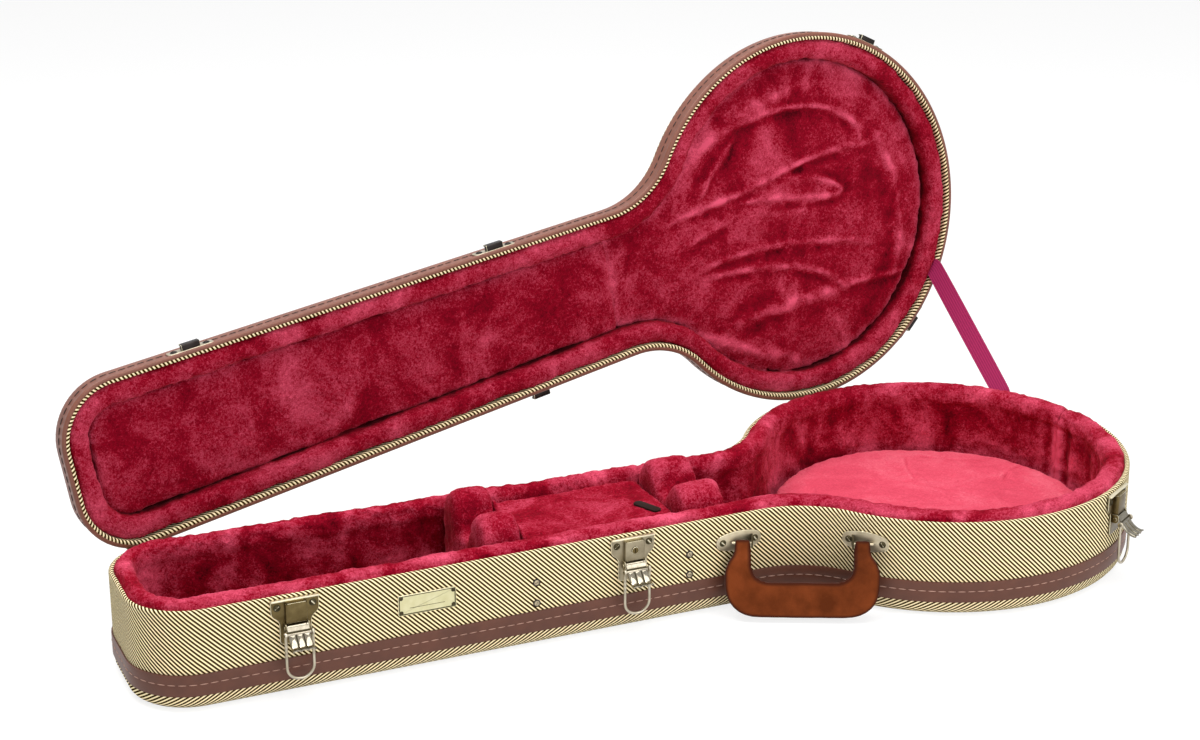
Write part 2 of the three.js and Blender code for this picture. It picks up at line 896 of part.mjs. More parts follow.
// The lever is a barrel on the pin and a scooped thumb plate, with a stub each side for the bail
function leverSolid() {
  const { axisOut, axisZ, barrel: radius, sheet, leverHalf } = latch;
  const top = scoopShares.map(([out, up]) => [axisOut + out * radius, axisZ + up * radius]);
  const under = top.slice(1).map(([out, z]) => [out - sheet / 2, z - sheet]);
  const outline = [...top, ...under.reverse(), [axisOut, axisZ - radius / 2]];
  const scoop = sideProfile(outline, -leverHalf, leverHalf);
  const tube = rodAlongX(radius, -leverHalf, leverHalf, -axisOut, axisZ, 14);
  const stubs = rodAlongX(bail.pin, -bail.pinReach, bail.pinReach, -bail.out, bail.z, 8);
  const boss = rodAlongX(bail.pin * 2, -leverHalf, leverHalf, -bail.out, bail.z, 10);
  const bore = rodAlongX(latch.bore, -leverHalf - overrun, leverHalf + overrun, -axisOut, axisZ, 12);
  return cut(join(scoop, tube, boss, stubs), bore);
}

// The bail's wire runs down from one eye, round the turn and up to the other eye
class BailPath extends THREE.Curve {
  getPoint(share) {
    const legShare = 0.3;
    const across = bail.eyeIn + bail.eyeThickness / 2;
    const start = bail.eye / 2;
    const straight = bail.drop - bail.turn;
    const side = Math.sign(share - 1 / 2) || 1;
    const fromEnd = Math.min(share, 1 - share);
    if (fromEnd <= legShare) {
      const down = start + (straight - start) * (fromEnd / legShare);
      return new THREE.Vector3(side * across, -bail.out, bail.z - down);
    }
    const angle = ((fromEnd - legShare) / (1 / 2 - legShare)) * 90 * degrees;
    const x = side * across * Math.cos(angle);
    return new THREE.Vector3(x, -bail.out, bail.z - straight - bail.turn * Math.sin(angle));
  }
}

function bailSolid() {
  const ring = new THREE.Shape().absarc(0, 0, bail.wire, 0, 360 * degrees);
  const wire = new THREE.ExtrudeGeometry(ring, {
    steps: 20,
    curveSegments: 3,
    bevelEnabled: false,
    extrudePath: new BailPath(),
  });
  const eyes = [-1, 1].map((side) => {
    const ends = [side * bail.eyeIn, side * (bail.eyeIn + bail.eyeThickness)].sort((a, b) => a - b);
    return rodAlongX(bail.eye, ...ends, -bail.out, bail.z, 12);
  });
  const reach = bail.eyeIn + bail.eyeThickness + overrun;
  const bore = rodAlongX(bail.eyeBore, -reach, reach, -bail.out, bail.z, 10);
  return cut(join(wire, ...eyes), bore);
}

function lockBarrel() {
  const back = gap + latch.thickness + gap;
  const face = latch.housingDepth + barrel.proud;
  const plug = new THREE.CylinderGeometry(barrel.radius, barrel.radius, face - back, 14);
  const half = barrel.slotLength / 2;
  const slot = box([-barrel.slot / 2, -face - overrun, barrel.z - half],
    [barrel.slot / 2, -face + barrel.slotDepth, barrel.z + half]);
  return cut(plug.translate(0, -(face + back) / 2, barrel.z), slot);
}

function catchSolid() {
  const { halfWidth, low, high, thickness, corner, hookHalf, hookOut, hookLow, hookLip, wall } = catchPlate;
  const seat = latch.z + bail.z + bail.drop - bail.wire - rim - gap;
  const back = 2 * gap + binding.thickness;
  const face = back + thickness;
  const flange = standingPlate(roundedRectangle(-halfWidth, low, halfWidth, high, corner), back, face, 3);
  const hook = sideProfile(
    [
      [back, hookLow],
      [hookOut, hookLow],
      [hookOut, seat + hookLip],
      [hookOut - wall, seat + hookLip],
      [hookOut - wall, seat],
      [back, seat],
    ],
    -hookHalf,
    hookHalf,
  );
  const middle = (low + high) / 2;
  const screws = [-1, 1].map((side) => head(side * catchPlate.screwX, middle, face));
  return join(flange, hook, ...screws);
}

// The handle and its two brackets share one straight pivot across the front throat

const leftPlace = frontNeck(throatStart.x - bracket.beforeThroat);
const rightPlace = potPlace + bracket.pastThroat;

function standOff(place, out) {
  const at = wallAt(place);
  return new THREE.Vector2(at.x + out * at.nx, at.y + out * at.ny);
}

const leftPivot = standOff(leftPlace, bracket.out);
const rightPivot = standOff(rightPlace, bracket.out);
const pivotLine = rightPivot.clone().sub(leftPivot);
const pivotAngle = pivotLine.angle();
const pivotMiddle = leftPivot.clone().add(rightPivot).divideScalar(2);
const legSpan = pivotLine.length();

// The bracket's eye shape, by quarters. Each quarter has a control point, the end of its first
// curve and the control point of its second, as shares of the half length and half height.
const eyeShares = [
  [1, 0.5],
  [0.5, 0.8],
  [0, 1],
];

function eyeShape(halfLength, halfHeight) {
  const [corner, shoulder, crown] = eyeShares.map(([x, z]) => [x * halfLength, z * halfHeight]);
  const shape = new THREE.Shape();
  shape.moveTo(-halfLength, 0);
  shape.quadraticCurveTo(-corner[0], -corner[1], -shoulder[0], -shoulder[1]);
  shape.quadraticCurveTo(crown[0], -crown[1], shoulder[0], -shoulder[1]);
  shape.quadraticCurveTo(corner[0], -corner[1], halfLength, 0);
  shape.quadraticCurveTo(corner[0], corner[1], shoulder[0], shoulder[1]);
  shape.quadraticCurveTo(crown[0], crown[1], -shoulder[0], shoulder[1]);
  shape.quadraticCurveTo(-corner[0], corner[1], -halfLength, 0);
  return shape;
}

// The bracket's plate lies on the wall, and its ears, pin and hood stand square to the pivot
function bracketSolid(place, pivot) {
  const at = wallAt(place);
  const { halfLength, halfHeight, thickness, earHalf, ear, earLow, hoodLow, hoodHigh, hoodReach } = bracket;
  const shape = eyeShape(halfLength, halfHeight);
  const face = gap + thickness;
  const screws = [-1, 1].map((side) => head(side * bracket.screwX, 0, face));
  const onWall = (geometry) => geometry.rotateZ(Math.atan2(at.nx, -at.ny)).translate(at.x, at.y, bracket.z);
  const plate = onWall(join(standingPlate(shape, gap, face), ...screws));
  const behind = bracket.out * 2;
  const ears = [-1, 1].map((side) => {
    const ends = [side * earHalf, side * (earHalf + ear)].sort((a, b) => a - b);
    return box([ends[0], -hoodReach, earLow], [ends[1], behind, hoodHigh]);
  });
  const reach = earHalf + ear;
  const hood = box([-reach, -hoodReach, hoodLow], [reach, behind, hoodHigh]);
  const pin = rodAlongX(bracket.pin, -reach, reach, 0, 0, 10);
  const bridge = join(...ears, hood, pin).rotateZ(pivotAngle).translate(pivot.x, pivot.y, bracket.z);
  const reachIn = behind * 2;
  const wallRoom = onWall(box([-reachIn, -gap - thickness / 2, -behind], [reachIn, reachIn, behind]));
  return join(plate, cut(bridge, wallRoom));
}

// The handle hangs along -Z from its pivot, before it is tilted
function handleSolid() {
  const { drop, grip, legWidth, thickness, legThickness, bevel, tongue, footRound, inner } = handle;
  const legIn = legSpan / 2 - legWidth / 2 + bevel;
  const legOut = legSpan / 2 + legWidth / 2 - bevel;
  const half = legOut + handle.overhang;
  const bottom = -drop + bevel;
  const top = -tongue / 2;
  const shoulder = top - tongue / 2;
  const side = shoulder - tongue;
  const shape = new THREE.Shape();
  shape.moveTo(-legIn, top);
  shape.lineTo(-legIn, -drop + grip + inner);
  shape.quadraticCurveTo(-legIn, -drop + grip, -legIn + inner, -drop + grip - bevel);
  shape.lineTo(legIn - inner, -drop + grip - bevel);
  shape.quadraticCurveTo(legIn, -drop + grip, legIn, -drop + grip + inner);
  shape.lineTo(legIn, top);
  shape.lineTo(legOut, top);
  shape.quadraticCurveTo(half, shoulder, half, side);
  shape.lineTo(half, bottom + footRound);
  shape.quadraticCurveTo(half, bottom, half - footRound, bottom);
  shape.lineTo(-half + footRound, bottom);
  shape.quadraticCurveTo(-half, bottom, -half, bottom + footRound);
  shape.lineTo(-half, side);
  shape.quadraticCurveTo(-half, shoulder, -legOut, top);
  const slab = new THREE.ExtrudeGeometry(shape, {
    depth: thickness - 2 * bevel,
    bevelSize: bevel,
    bevelThickness: bevel,
    bevelSegments: 1,
    curveSegments: 4,
  });
  const body = slab.rotateX(90 * degrees).translate(0, (thickness - 2 * bevel) / 2, 0);
  const tongues = [-1, 1].map((side) => {
    const middle = (side * legSpan) / 2;
    const [low, high] = [middle - legWidth / 2, middle + legWidth / 2];
    return join(
      box([low, -legThickness / 2, -tongue], [high, legThickness / 2, 0]),
      rodAlongX(handle.eye, low, high, 0, 0, 12),
    );
  });
  const reach = legSpan / 2 + legWidth;
  return cut(join(body, ...tongues), rodAlongX(handle.bore, -reach, reach, 0, 0, 12));
}

// Small fittings on the front wall

function nameplateSolid() {
  const { width, height, thickness, corner, pin, pinHeight } = nameplate;
  const outline = roundedRectangle(-width / 2, -height / 2, width / 2, height / 2, corner);
  const plate = standingPlate(outline, gap, gap + thickness, 2);
  const inset = 2 * pin;
  const pins = [[-1, -1], [1, -1], [1, 1], [-1, 1]].map(([x, z]) =>
    head(x * (width / 2 - inset), z * (height / 2 - inset), gap + thickness, pin, pin / 2, pinHeight),
  );
  return join(plate, ...pins);
}

function wallScrew() {
  return head(0, 0, 2 * gap);
}

// The stay strap, taut between the two rims, with its tails behind the linings
function stayStrap() {
  const centre = shell.ply + gap + strap.thickness / 2;
  const edge = (z, isOpen) => {
    const middle = aroundPot((isOpen ? strap.lidAngle : strap.baseAngle) * degrees);
    return [middle - strap.width / 2, middle + strap.width / 2].map((place) => {
      const at = wallAt(place);
      const point = new THREE.Vector3(at.x - centre * at.nx, at.y - centre * at.ny, z);
      return isOpen ? opened(point) : point;
    });
  };
  const near = [rim - strap.tail, rim - strap.bow, rim + strap.bow].map((z) => edge(z, false));
  const far = [lidRim - strap.bow, lidRim + strap.bow, lidRim + strap.tail].map((z) => edge(z, true));
  const rails = [0, 1].map((side) => {
    const [from, to] = [near[near.length - 1][side], far[0][side]];
    const run = [];
    for (let i = 1; i < strap.steps; i++) run.push(from.clone().lerp(to, i / strap.steps));
    return [...near.map((pair) => pair[side]), ...run, ...far.map((pair) => pair[side])];
  });
  const rings = rails[0].map((left, i) => {
    const right = rails[1][i];
    const last = rails[0].length - 1;
    const along = rails[0][Math.min(i + 1, last)].clone().sub(rails[0][Math.max(i - 1, 0)]).normalize();
    const across = right.clone().sub(left).normalize();
    const offset = across.cross(along).normalize().multiplyScalar(strap.thickness / 2);
    const outer = [left, right].map((point) => point.clone().add(offset));
    const inner = [right, left].map((point) => point.clone().sub(offset));
    return [...outer, ...inner];
  });
  return skin(rings);
}

// The assembly

function onWall(place, z, ...meshes) {
  const at = wallAt(place);
  const group = new THREE.Group();
  group.position.set(at.x, at.y, z);
  group.rotation.z = Math.atan2(at.nx, -at.ny);
  group.add(...meshes);
  return group;
}

const headLatchX = latchPlaces.headShare * throatStart.x;
const neckScrewsX = dividerStart + divider.thickness / 2;
const heelScrewsX = heelDividerStart + divider.thickness / 2;
const nameplateX = headLatchX + nameplate.betweenShare * (neckScrewsX - headLatchX);

const latches = [
  { name: "head", place: frontNeck(headLatchX), keyed: false },
  { name: "neck_front", place: frontNeck(throatStart.x - latchPlaces.frontBeforeThroat), keyed: true },
  { name: "pot_front", place: aroundPot(-latchPlaces.potFrontAngle * degrees), keyed: false },
  { name: "pot_rear", place: aroundPot(latchPlaces.potRearAngle * degrees), keyed: false },
  { name: "neck_rear", place: rearNeck(throatStart.x - latchPlaces.rearBeforeThroat), keyed: false },
];

function baseGroup() {
  const group = new THREE.Group();
  const seam = aroundPot(lining.seamAngle * degrees);
  const headEnd = restStart - gap;
  const potBegin = heelEnd + 2 * gap;
  const bandLow = shell.seam + gap;
  const floorEdge = -shell.ply - gap;
  const floorLevels = [[floorEdge, floorTop], [floorEdge, floorTop + lining.floor]];
  const linings = [
    ["head_lining", rearNeck(headEnd), wallLength + frontNeck(headEnd), neckInside],
    ["neck_lining_front", frontNeck(restStart), frontNeck(heelEnd), neckInside],
    ["neck_lining_rear", rearNeck(heelEnd), rearNeck(restStart), neckInside],
    ["pot_lining_front", frontNeck(potBegin), seam - gap, potInside],
    ["pot_lining_rear", seam, rearNeck(potBegin), potInside],
  ];
  group.add(
    part("base_bottom", baseBottom(), finishes.tweed),
    part("base_wall", wallRing(shell.seam, rim), finishes.tweed),
    part("base_binding", bindingRing(bandLow, bandLow + binding.width), finishes.vinyl),
    part("floor_lining", stack(floorLevels), finishes.plush),
    ...linings.map(([name, from, to, inside]) => part(name, baseLining(from, to, inside), finishes.plush)),
    part("neck_rest", restBlock(rest, restStart), finishes.plush),
    part("neck_divider", neckDivider(), finishes.plush),
    part("heel_divider", heelDivider(), finishes.ply),
    part("heel_rest", restBlock(heel, heelStart), finishes.plush),
    part("pot_pad", potPadSolid(), finishes.palePlush),
    part("accessory_lid", trayLid(), finishes.plush),
    part("pull_tab", pullTab(), finishes.leather),
    part("stay_strap", stayStrap(), finishes.webbing),
  );
  for (const spot of hingeSpots) {
    group.add(
      part(`hinge_leaf_base_${spot.name}`, baseLeaf(spot), finishes.nickel),
      part(`hinge_pin_${spot.name}`, hingePin(spot), finishes.nickel),
    );
  }
  for (const { name, place, keyed } of latches) {
    const pieces = [
      part(`latch_plate_${name}`, latchPlate(keyed), finishes.nickel),
      part(`latch_lever_${name}`, leverSolid(), finishes.chrome),
      part(`latch_bail_${name}`, bailSolid(), finishes.nickel),
    ];
    if (keyed) pieces.push(part("lock_barrel", lockBarrel(), finishes.nickel));
    group.add(onWall(place, latch.z, ...pieces));
  }
  group.add(
    part("handle_bracket_left", bracketSolid(leftPlace, leftPivot), finishes.nickel),
    part("handle_bracket_right", bracketSolid(rightPlace, rightPivot), finishes.nickel),
    onWall(frontNeck(nameplateX), nameplate.z, part("nameplate", nameplateSolid(), finishes.nickel)),
  );
  for (const [name, x] of Object.entries({ neck: neckScrewsX, heel: heelScrewsX })) {
    for (const [level, z] of Object.entries(wallScrewLevels)) {
      const mesh = part(`wall_screw_${name}_${level}`, wallScrew(), finishes.nickel);
      group.add(onWall(frontNeck(x), z, mesh));
    }
  }
  return group;
}

function handleGroup() {
  const group = new THREE.Group();
  group.position.set(pivotMiddle.x, pivotMiddle.y, bracket.z);
  group.rotation.set(-handle.tilt * degrees, 0, pivotAngle, "ZYX");
  group.add(part("handle", handleSolid(), finishes.leather));
  return group;
}

// The lid is built shut, and then turned open about the hinge
function lidGroup() {
  const shut = new THREE.Group();
  shut.position.copy(headHinge).negate();
  const bandLow = rim + binding.lidInset;
  const { neckDepth, potDepth } = lidPad;
  const split = throatStart.x - lidPad.beforeThroat;
  const neckPad = lidPadSolid(rearNeck(split), wallLength + frontNeck(split), neckDepth);
  const potRecess = lidPadSolid(frontNeck(split + gap), rearNeck(split + gap), potDepth);
  shut.add(
    part("lid_top", lidTopPanel(), finishes.tweed),
    part("lid_wall", wallRing(lidTop - shell.seam, lidRim), finishes.tweed),
    part("lid_binding", bindingRing(bandLow, bandLow + binding.width), finishes.vinyl),
    part("lid_wall_lining", lidWallLining(), finishes.plush),
    part("lid_neck_pad", neckPad, finishes.plush),
    part("lid_pot_pad", potRecess, finishes.plush),
  );
  for (const spot of hingeSpots) {
    shut.add(part(`hinge_leaf_lid_${spot.name}`, lidLeaf(spot), finishes.nickel));
  }
  for (const { name, place } of latches) {
    shut.add(onWall(place, rim, part(`lid_catch_${name}`, catchSolid(), finishes.nickel)));
  }
  const lid = new THREE.Group();
  lid.position.copy(headHinge);
  lid.quaternion.setFromAxisAngle(hingeAxis, -hinge.open * degrees);
  lid.add(shut);
  return lid;
}

const fromHeadEnd = new THREE.Group();
fromHeadEnd.position.x = -plan.length / 2;
fromHeadEnd.add(baseGroup(), handleGroup(), lidGroup());

const banjoCase = new THREE.Group();
banjoCase.add(fromHeadEnd);

export default banjoCase;
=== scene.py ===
"""The open tweed banjo case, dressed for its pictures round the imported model.

Every length is in metres. The case lies along X with its head end at low X, its front faces -Y and
its underside stands on z = 0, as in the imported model.
"""

from __future__ import annotations

import logging
import math
from collections.abc import Callable, Iterator, Sequence
from contextlib import contextmanager
from dataclasses import dataclass
from enum import Enum
from functools import cache, cached_property

import bmesh
import bpy
import numpy as np
from mathutils import Matrix, Vector, noise

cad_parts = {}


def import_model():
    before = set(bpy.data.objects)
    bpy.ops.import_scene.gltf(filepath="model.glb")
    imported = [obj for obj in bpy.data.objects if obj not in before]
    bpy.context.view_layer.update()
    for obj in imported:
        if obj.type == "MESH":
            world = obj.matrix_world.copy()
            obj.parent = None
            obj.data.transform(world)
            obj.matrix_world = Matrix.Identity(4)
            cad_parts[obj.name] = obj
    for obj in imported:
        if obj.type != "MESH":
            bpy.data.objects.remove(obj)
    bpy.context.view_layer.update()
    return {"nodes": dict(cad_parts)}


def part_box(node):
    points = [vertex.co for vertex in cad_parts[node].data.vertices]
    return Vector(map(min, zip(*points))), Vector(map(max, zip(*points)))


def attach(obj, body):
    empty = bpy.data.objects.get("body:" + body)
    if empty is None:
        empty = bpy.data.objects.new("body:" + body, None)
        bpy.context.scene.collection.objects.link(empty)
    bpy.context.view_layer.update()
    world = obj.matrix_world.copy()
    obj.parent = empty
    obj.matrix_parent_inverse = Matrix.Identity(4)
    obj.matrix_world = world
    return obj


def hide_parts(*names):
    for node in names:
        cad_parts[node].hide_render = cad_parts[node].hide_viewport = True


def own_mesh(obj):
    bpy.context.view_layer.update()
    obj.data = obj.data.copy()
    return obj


log = logging.getLogger("banjo_case")

Sockets = tuple[bpy.types.NodeSocket, bpy.types.NodeSocket]
Pair = tuple[float, float]
Triple = tuple[float, float, float]
Line = Sequence[Pair]
Corners = Sequence[Triple]

MM = 0.001
SAME_PLACE = 0.01 * MM


def srgb(colour: str) -> tuple[float, float, float, float]:
    """Turns a hex sRGB colour to linear RGBA.

    Args:
        colour: six hex digits after a hash.

    Returns:
        Red, green, blue and an alpha of 1.
    """
    parts = [int(colour[i : i + 2], 16) / 255 for i in (1, 3, 5)]
    linear = [c / 12.92 if c <= 0.04045 else ((c + 0.055) / 1.055) ** 2.4 for c in parts]
    return (*linear, 1.0)


# Materials

# What a Math node does with its inputs, and a Mix node that blends two colours
TIMES = {"operation": "MULTIPLY"}
TIMES_PLUS = {"operation": "MULTIPLY_ADD"}
PLUS = {"operation": "ADD"}
MINUS = {"operation": "SUBTRACT"}
UP_AND_DOWN = {"operation": "PINGPONG"}
LARGER = {"operation": "MAXIMUM"}
BLEND = {"data_type": "RGBA"}


def add_node(
    tree: bpy.types.NodeTree,
    kind: str,
    settings: dict[str, object] | None = None,
    inputs: dict[str | int, object] | None = None,
) -> bpy.types.Node:
    """Adds a shader node with its settings and its links.

    Args:
        tree: the material's or world's node tree.
        kind: the node's type, without its ShaderNode prefix.
        settings: attributes of the node by name.
        inputs: a value, or an output socket to link from, by the input's name or number.

    Returns:
        The new node.
    """
    node = tree.nodes.new(f"ShaderNode{kind}")
    for name, value in (settings or {}).items():
        setattr(node, name, value)
    for name, value in (inputs or {}).items():
        if isinstance(value, bpy.types.NodeSocket):
            tree.links.new(value, node.inputs[name])
        else:
            node.inputs[name].default_value = value
    return node


@dataclass(frozen=True)
class Finish:
    """What a piece is made of. A kind of finish draws its own pattern of colour and relief."""

    name: str
    slot: str
    rough: float
    metallic: float = 0.0
    specular: float = 0.5
    relief: float = 0.0
    relief_depth: float = 0.0
    sunk: bool = False

    @cached_property
    def material(self) -> bpy.types.Material:
        """The finish as a material, made when it is first asked for."""
        material = bpy.data.materials.new(self.name)
        material.use_nodes = True
        tree = material.node_tree
        surface = tree.nodes["Principled BSDF"]
        surface.inputs["Roughness"].default_value = self.rough
        surface.inputs["Metallic"].default_value = self.metallic
        surface.inputs["Specular IOR Level"].default_value = self.specular
        colour, height = self.pattern(tree, surface)
        tree.links.new(colour, surface.inputs["Base Color"])
        if self.relief:
            depth = {"Strength": self.relief, "Distance": self.relief_depth, "Height": height}
            bump = add_node(tree, "Bump", {"invert": self.sunk}, depth)
            tree.links.new(bump.outputs[0], surface.inputs["Normal"])
        return material

    def pattern(self, tree: bpy.types.NodeTree, surface: bpy.types.Node) -> Sockets:
        """Draws what varies over the surface of this finish.

        Args:
            tree: the material's node tree.
            surface: its Principled shader.

        Returns:
            The colour, and the height that its relief follows.
        """
        raise NotImplementedError


@dataclass(frozen=True)
class Tweed(Finish):
    """Woven cotton over ply: cream twill bands with golden edges and dark brown lines, at 45 degrees.

    It reads the piece's UV map, whose unit is a metre along the wall and up it.
    """

    relief: float = 0.35
    relief_depth: float = 0.5 * MM
    golden: str = "#CDA95C"
    pale: str = "#FFF4CE"
    line: str = "#2A1A03"
    pitch: float = 3.17 * MM
    thread: float = 0.9 * MM
    wander: float = 0.25
    wander_length: float = 30 * MM
    zigzag: float = 0.16
    line_edges: Pair = (0.23, 0.29)
    golden_edges: Pair = (0.1, 0.26)
    slub_length: float = 4 * MM

    def pattern(self, tree: bpy.types.NodeTree, surface: bpy.types.Node) -> Sockets:
        """Draws the lines across the bands, the threads along them and the weave's relief."""
        place = add_node(tree, "UVMap").outputs["UV"]
        apart = add_node(tree, "SeparateXYZ", inputs={0: place})
        across = add_node(tree, "Math", PLUS, {0: apart.outputs[0], 1: apart.outputs[1]})
        along = add_node(tree, "Math", MINUS, {0: apart.outputs[0], 1: apart.outputs[1]})
        drift = add_node(
            tree, "TexNoise", inputs={"Vector": place, "Scale": 1 / self.wander_length, "Detail": 2.0}
        )
        count = math.sqrt(2) / 2
        threads = add_node(tree, "Math", TIMES, {0: along.outputs[0], 1: count / self.thread})
        saw = add_node(tree, "Math", UP_AND_DOWN, {0: threads.outputs[0], 1: 0.5})
        lines = add_node(tree, "Math", TIMES, {0: across.outputs[0], 1: count / self.pitch})
        waved = add_node(
            tree, "Math", TIMES_PLUS, {0: drift.outputs["Fac"], 1: self.wander, 2: lines.outputs[0]}
        )
        stepped = add_node(
            tree, "Math", TIMES_PLUS, {0: saw.outputs[0], 1: self.zigzag, 2: waved.outputs[0]}
        )
        cycle = add_node(tree, "Math", UP_AND_DOWN, {0: stepped.outputs[0], 1: 0.5})
        first, last = self.line_edges
        dark = add_node(
            tree,
            "MapRange",
            {"interpolation_type": "SMOOTHSTEP"},
            {"Value": cycle.outputs[0], "From Min": first, "From Max": last},
        )
        first, last = self.golden_edges
        edge = add_node(
            tree, "MapRange", inputs={"Value": cycle.outputs[0], "From Min": first, "From Max": last}
        )
        shades = {"Factor": edge.outputs[0], "A": srgb(self.pale), "B": srgb(self.golden)}
        bands = add_node(tree, "Mix", BLEND, shades)
        slubs = add_node(
            tree, "TexNoise", inputs={"Vector": place, "Scale": 1 / self.slub_length, "Detail": 3.0}
        )
        shades = {"Factor": dark.outputs[0], "A": bands.outputs["Result"], "B": srgb(self.line)}
        colour = add_node(tree, "Mix", BLEND, shades)
        threaded = add_node(tree, "Math", TIMES_PLUS, {0: saw.outputs[0], 1: 0.8, 2: cycle.outputs[0]})
        weave = add_node(tree, "Math", PLUS, {0: threaded.outputs[0], 1: slubs.outputs["Fac"]})
        return colour.outputs["Result"], weave.outputs[0]


@dataclass(frozen=True)
class Leatherette(Finish):
    """Vinyl-coated cloth with a fine pressed pebble grain and a low shine."""

    relief: float = 0.25
    relief_depth: float = 0.2 * MM
    sunk: bool = True
    colour: str = "#683A29"
    deep: str = "#4A281B"
    grain: float = 1.1 * MM
    mottle: float = 18 * MM

    def pattern(self, tree: bpy.types.NodeTree, surface: bpy.types.Node) -> Sockets:
        """Mottles the brown and presses the grain into it."""
        place = add_node(tree, "TexCoord").outputs["Object"]
        pebble = add_node(tree, "TexVoronoi", inputs={"Vector": place, "Scale": 1 / self.grain})
        tone = add_node(tree, "TexNoise", inputs={"Vector": place, "Scale": 1 / self.mottle, "Detail": 4.0})
        shades = {"Factor": tone.outputs["Fac"], "A": srgb(self.deep), "B": srgb(self.colour)}
        colour = add_node(tree, "Mix", BLEND, shades)
        return colour.outputs["Result"], pebble.outputs["Distance"]


@dataclass(frozen=True)
class Plush(Finish):
    """Crimson pile fabric. Its nap lies in patches that look dark or pale, with fine fibre ends.

    The piece's pile attribute is above 0 where the cloth bends outwards and on fold ridges, where the ramp
    turns pale, partly for the pile that opens there and partly as painted highlight, and below 0 in its
    creases and the hollows beside its folds, where it turns dark as painted shade.
    """

    relief: float = 0.6
    relief_depth: float = 1.2 * MM
    rough: float = 0.9
    specular: float = 0.05
    deep: str = "#3E0008"
    body: str = "#8A041E"
    bloom: str = "#DA5470"
    patch: float = 55 * MM
    fibre: float = 2.1 * MM
    tone: float = 0.67
    contrast: float = 0.7
    speckle: float = 0.42
    # How far the pile attribute moves the ramp: painted highlight on ridges and outward bends, painted shade
    # in creases and hollows.
    opened: float = 0.26
    stops: Triple = (0.4, 0.66, 0.96)
    sheen: str = "#FF7078"

    def pattern(self, tree: bpy.types.NodeTree, surface: bpy.types.Node) -> Sockets:
        """Lays the nap in patches, speckles it with fibre ends and gives it a pile's sheen."""
        place = add_node(tree, "TexCoord").outputs["Object"]
        patchy = {"Vector": place, "Scale": 1 / self.patch, "Detail": 5.0, "Roughness": 0.6}
        nap = add_node(tree, "TexNoise", inputs={**patchy, "Distortion": 0.6})
        tips = {"Vector": place, "Scale": 1 / self.fibre, "Detail": 1.0, "Distortion": 1.2}
        ends = add_node(tree, "TexNoise", inputs=tips)
        level = self.tone - (self.contrast + self.speckle) / 2
        patches = add_node(tree, "Math", TIMES_PLUS, {0: nap.outputs["Fac"], 1: self.contrast, 2: level})
        pile = add_node(tree, "Attribute", {"attribute_name": "pile"})
        speckled = add_node(
            tree, "Math", TIMES_PLUS, {0: ends.outputs["Fac"], 1: self.speckle, 2: patches.outputs[0]}
        )
        # The pile attribute moves the ramp: pale on ridges and outward bends, partly painted highlight, and
        # dark in creases and hollows, painted shade.
        opened = add_node(
            tree, "Math", TIMES_PLUS, {0: pile.outputs["Fac"], 1: self.opened, 2: speckled.outputs[0]}
        )
        ramp = add_node(tree, "ValToRGB", inputs={0: opened.outputs[0]})
        dark, middle, pale = self.stops
        stops = ramp.color_ramp.elements
        stops[0].position, stops[0].color = dark, srgb(self.deep)
        stops[1].position, stops[1].color = pale, srgb(self.bloom)
        stops.new(middle).color = srgb(self.body)
        surface.inputs["Sheen Weight"].default_value = 0.18
        surface.inputs["Sheen Roughness"].default_value = 0.35
        surface.inputs["Sheen Tint"].default_value = srgb(self.sheen)
        return ramp.outputs["Color"], ends.outputs["Fac"]


@dataclass(frozen=True)
class PlatedMetal(Finish):
    """Nickel or chrome plating, clouded in colour and roughness between a bright colour and a darker tarnish.
    On the aged nickel and the chrome the darker colours are partly painted reflection.
    """

    relief: float = 0.12
    relief_depth: float = 0.1 * MM
    metallic: float = 1.0
    bright: str = "#80704C"
    tarnish: str = "#3E3016"
    cloud: float = 9 * MM
    dulling: float = 0.18
    scratch: float = 0.8 * MM

    def pattern(self, tree: bpy.types.NodeTree, surface: bpy.types.Node) -> Sockets:
        """Clouds the plating's colour and roughness and scratches it lightly."""
        place = add_node(tree, "TexCoord").outputs["Object"]
        cloud = add_node(tree, "TexNoise", inputs={"Vector": place, "Scale": 1 / self.cloud, "Detail": 5.0})
        shades = {"Factor": cloud.outputs["Fac"], "A": srgb(self.bright), "B": srgb(self.tarnish)}
        colour = add_node(tree, "Mix", BLEND, shades)
        rough = add_node(
            tree, "Math", TIMES_PLUS, {0: cloud.outputs["Fac"], 1: self.dulling, 2: self.rough}
        )
        tree.links.new(rough.outputs[0], surface.inputs["Roughness"])
        marks = add_node(tree, "TexNoise", inputs={"Vector": place, "Scale": 1 / self.scratch, "Detail": 3.0})
        return colour.outputs["Result"], marks.outputs["Fac"]


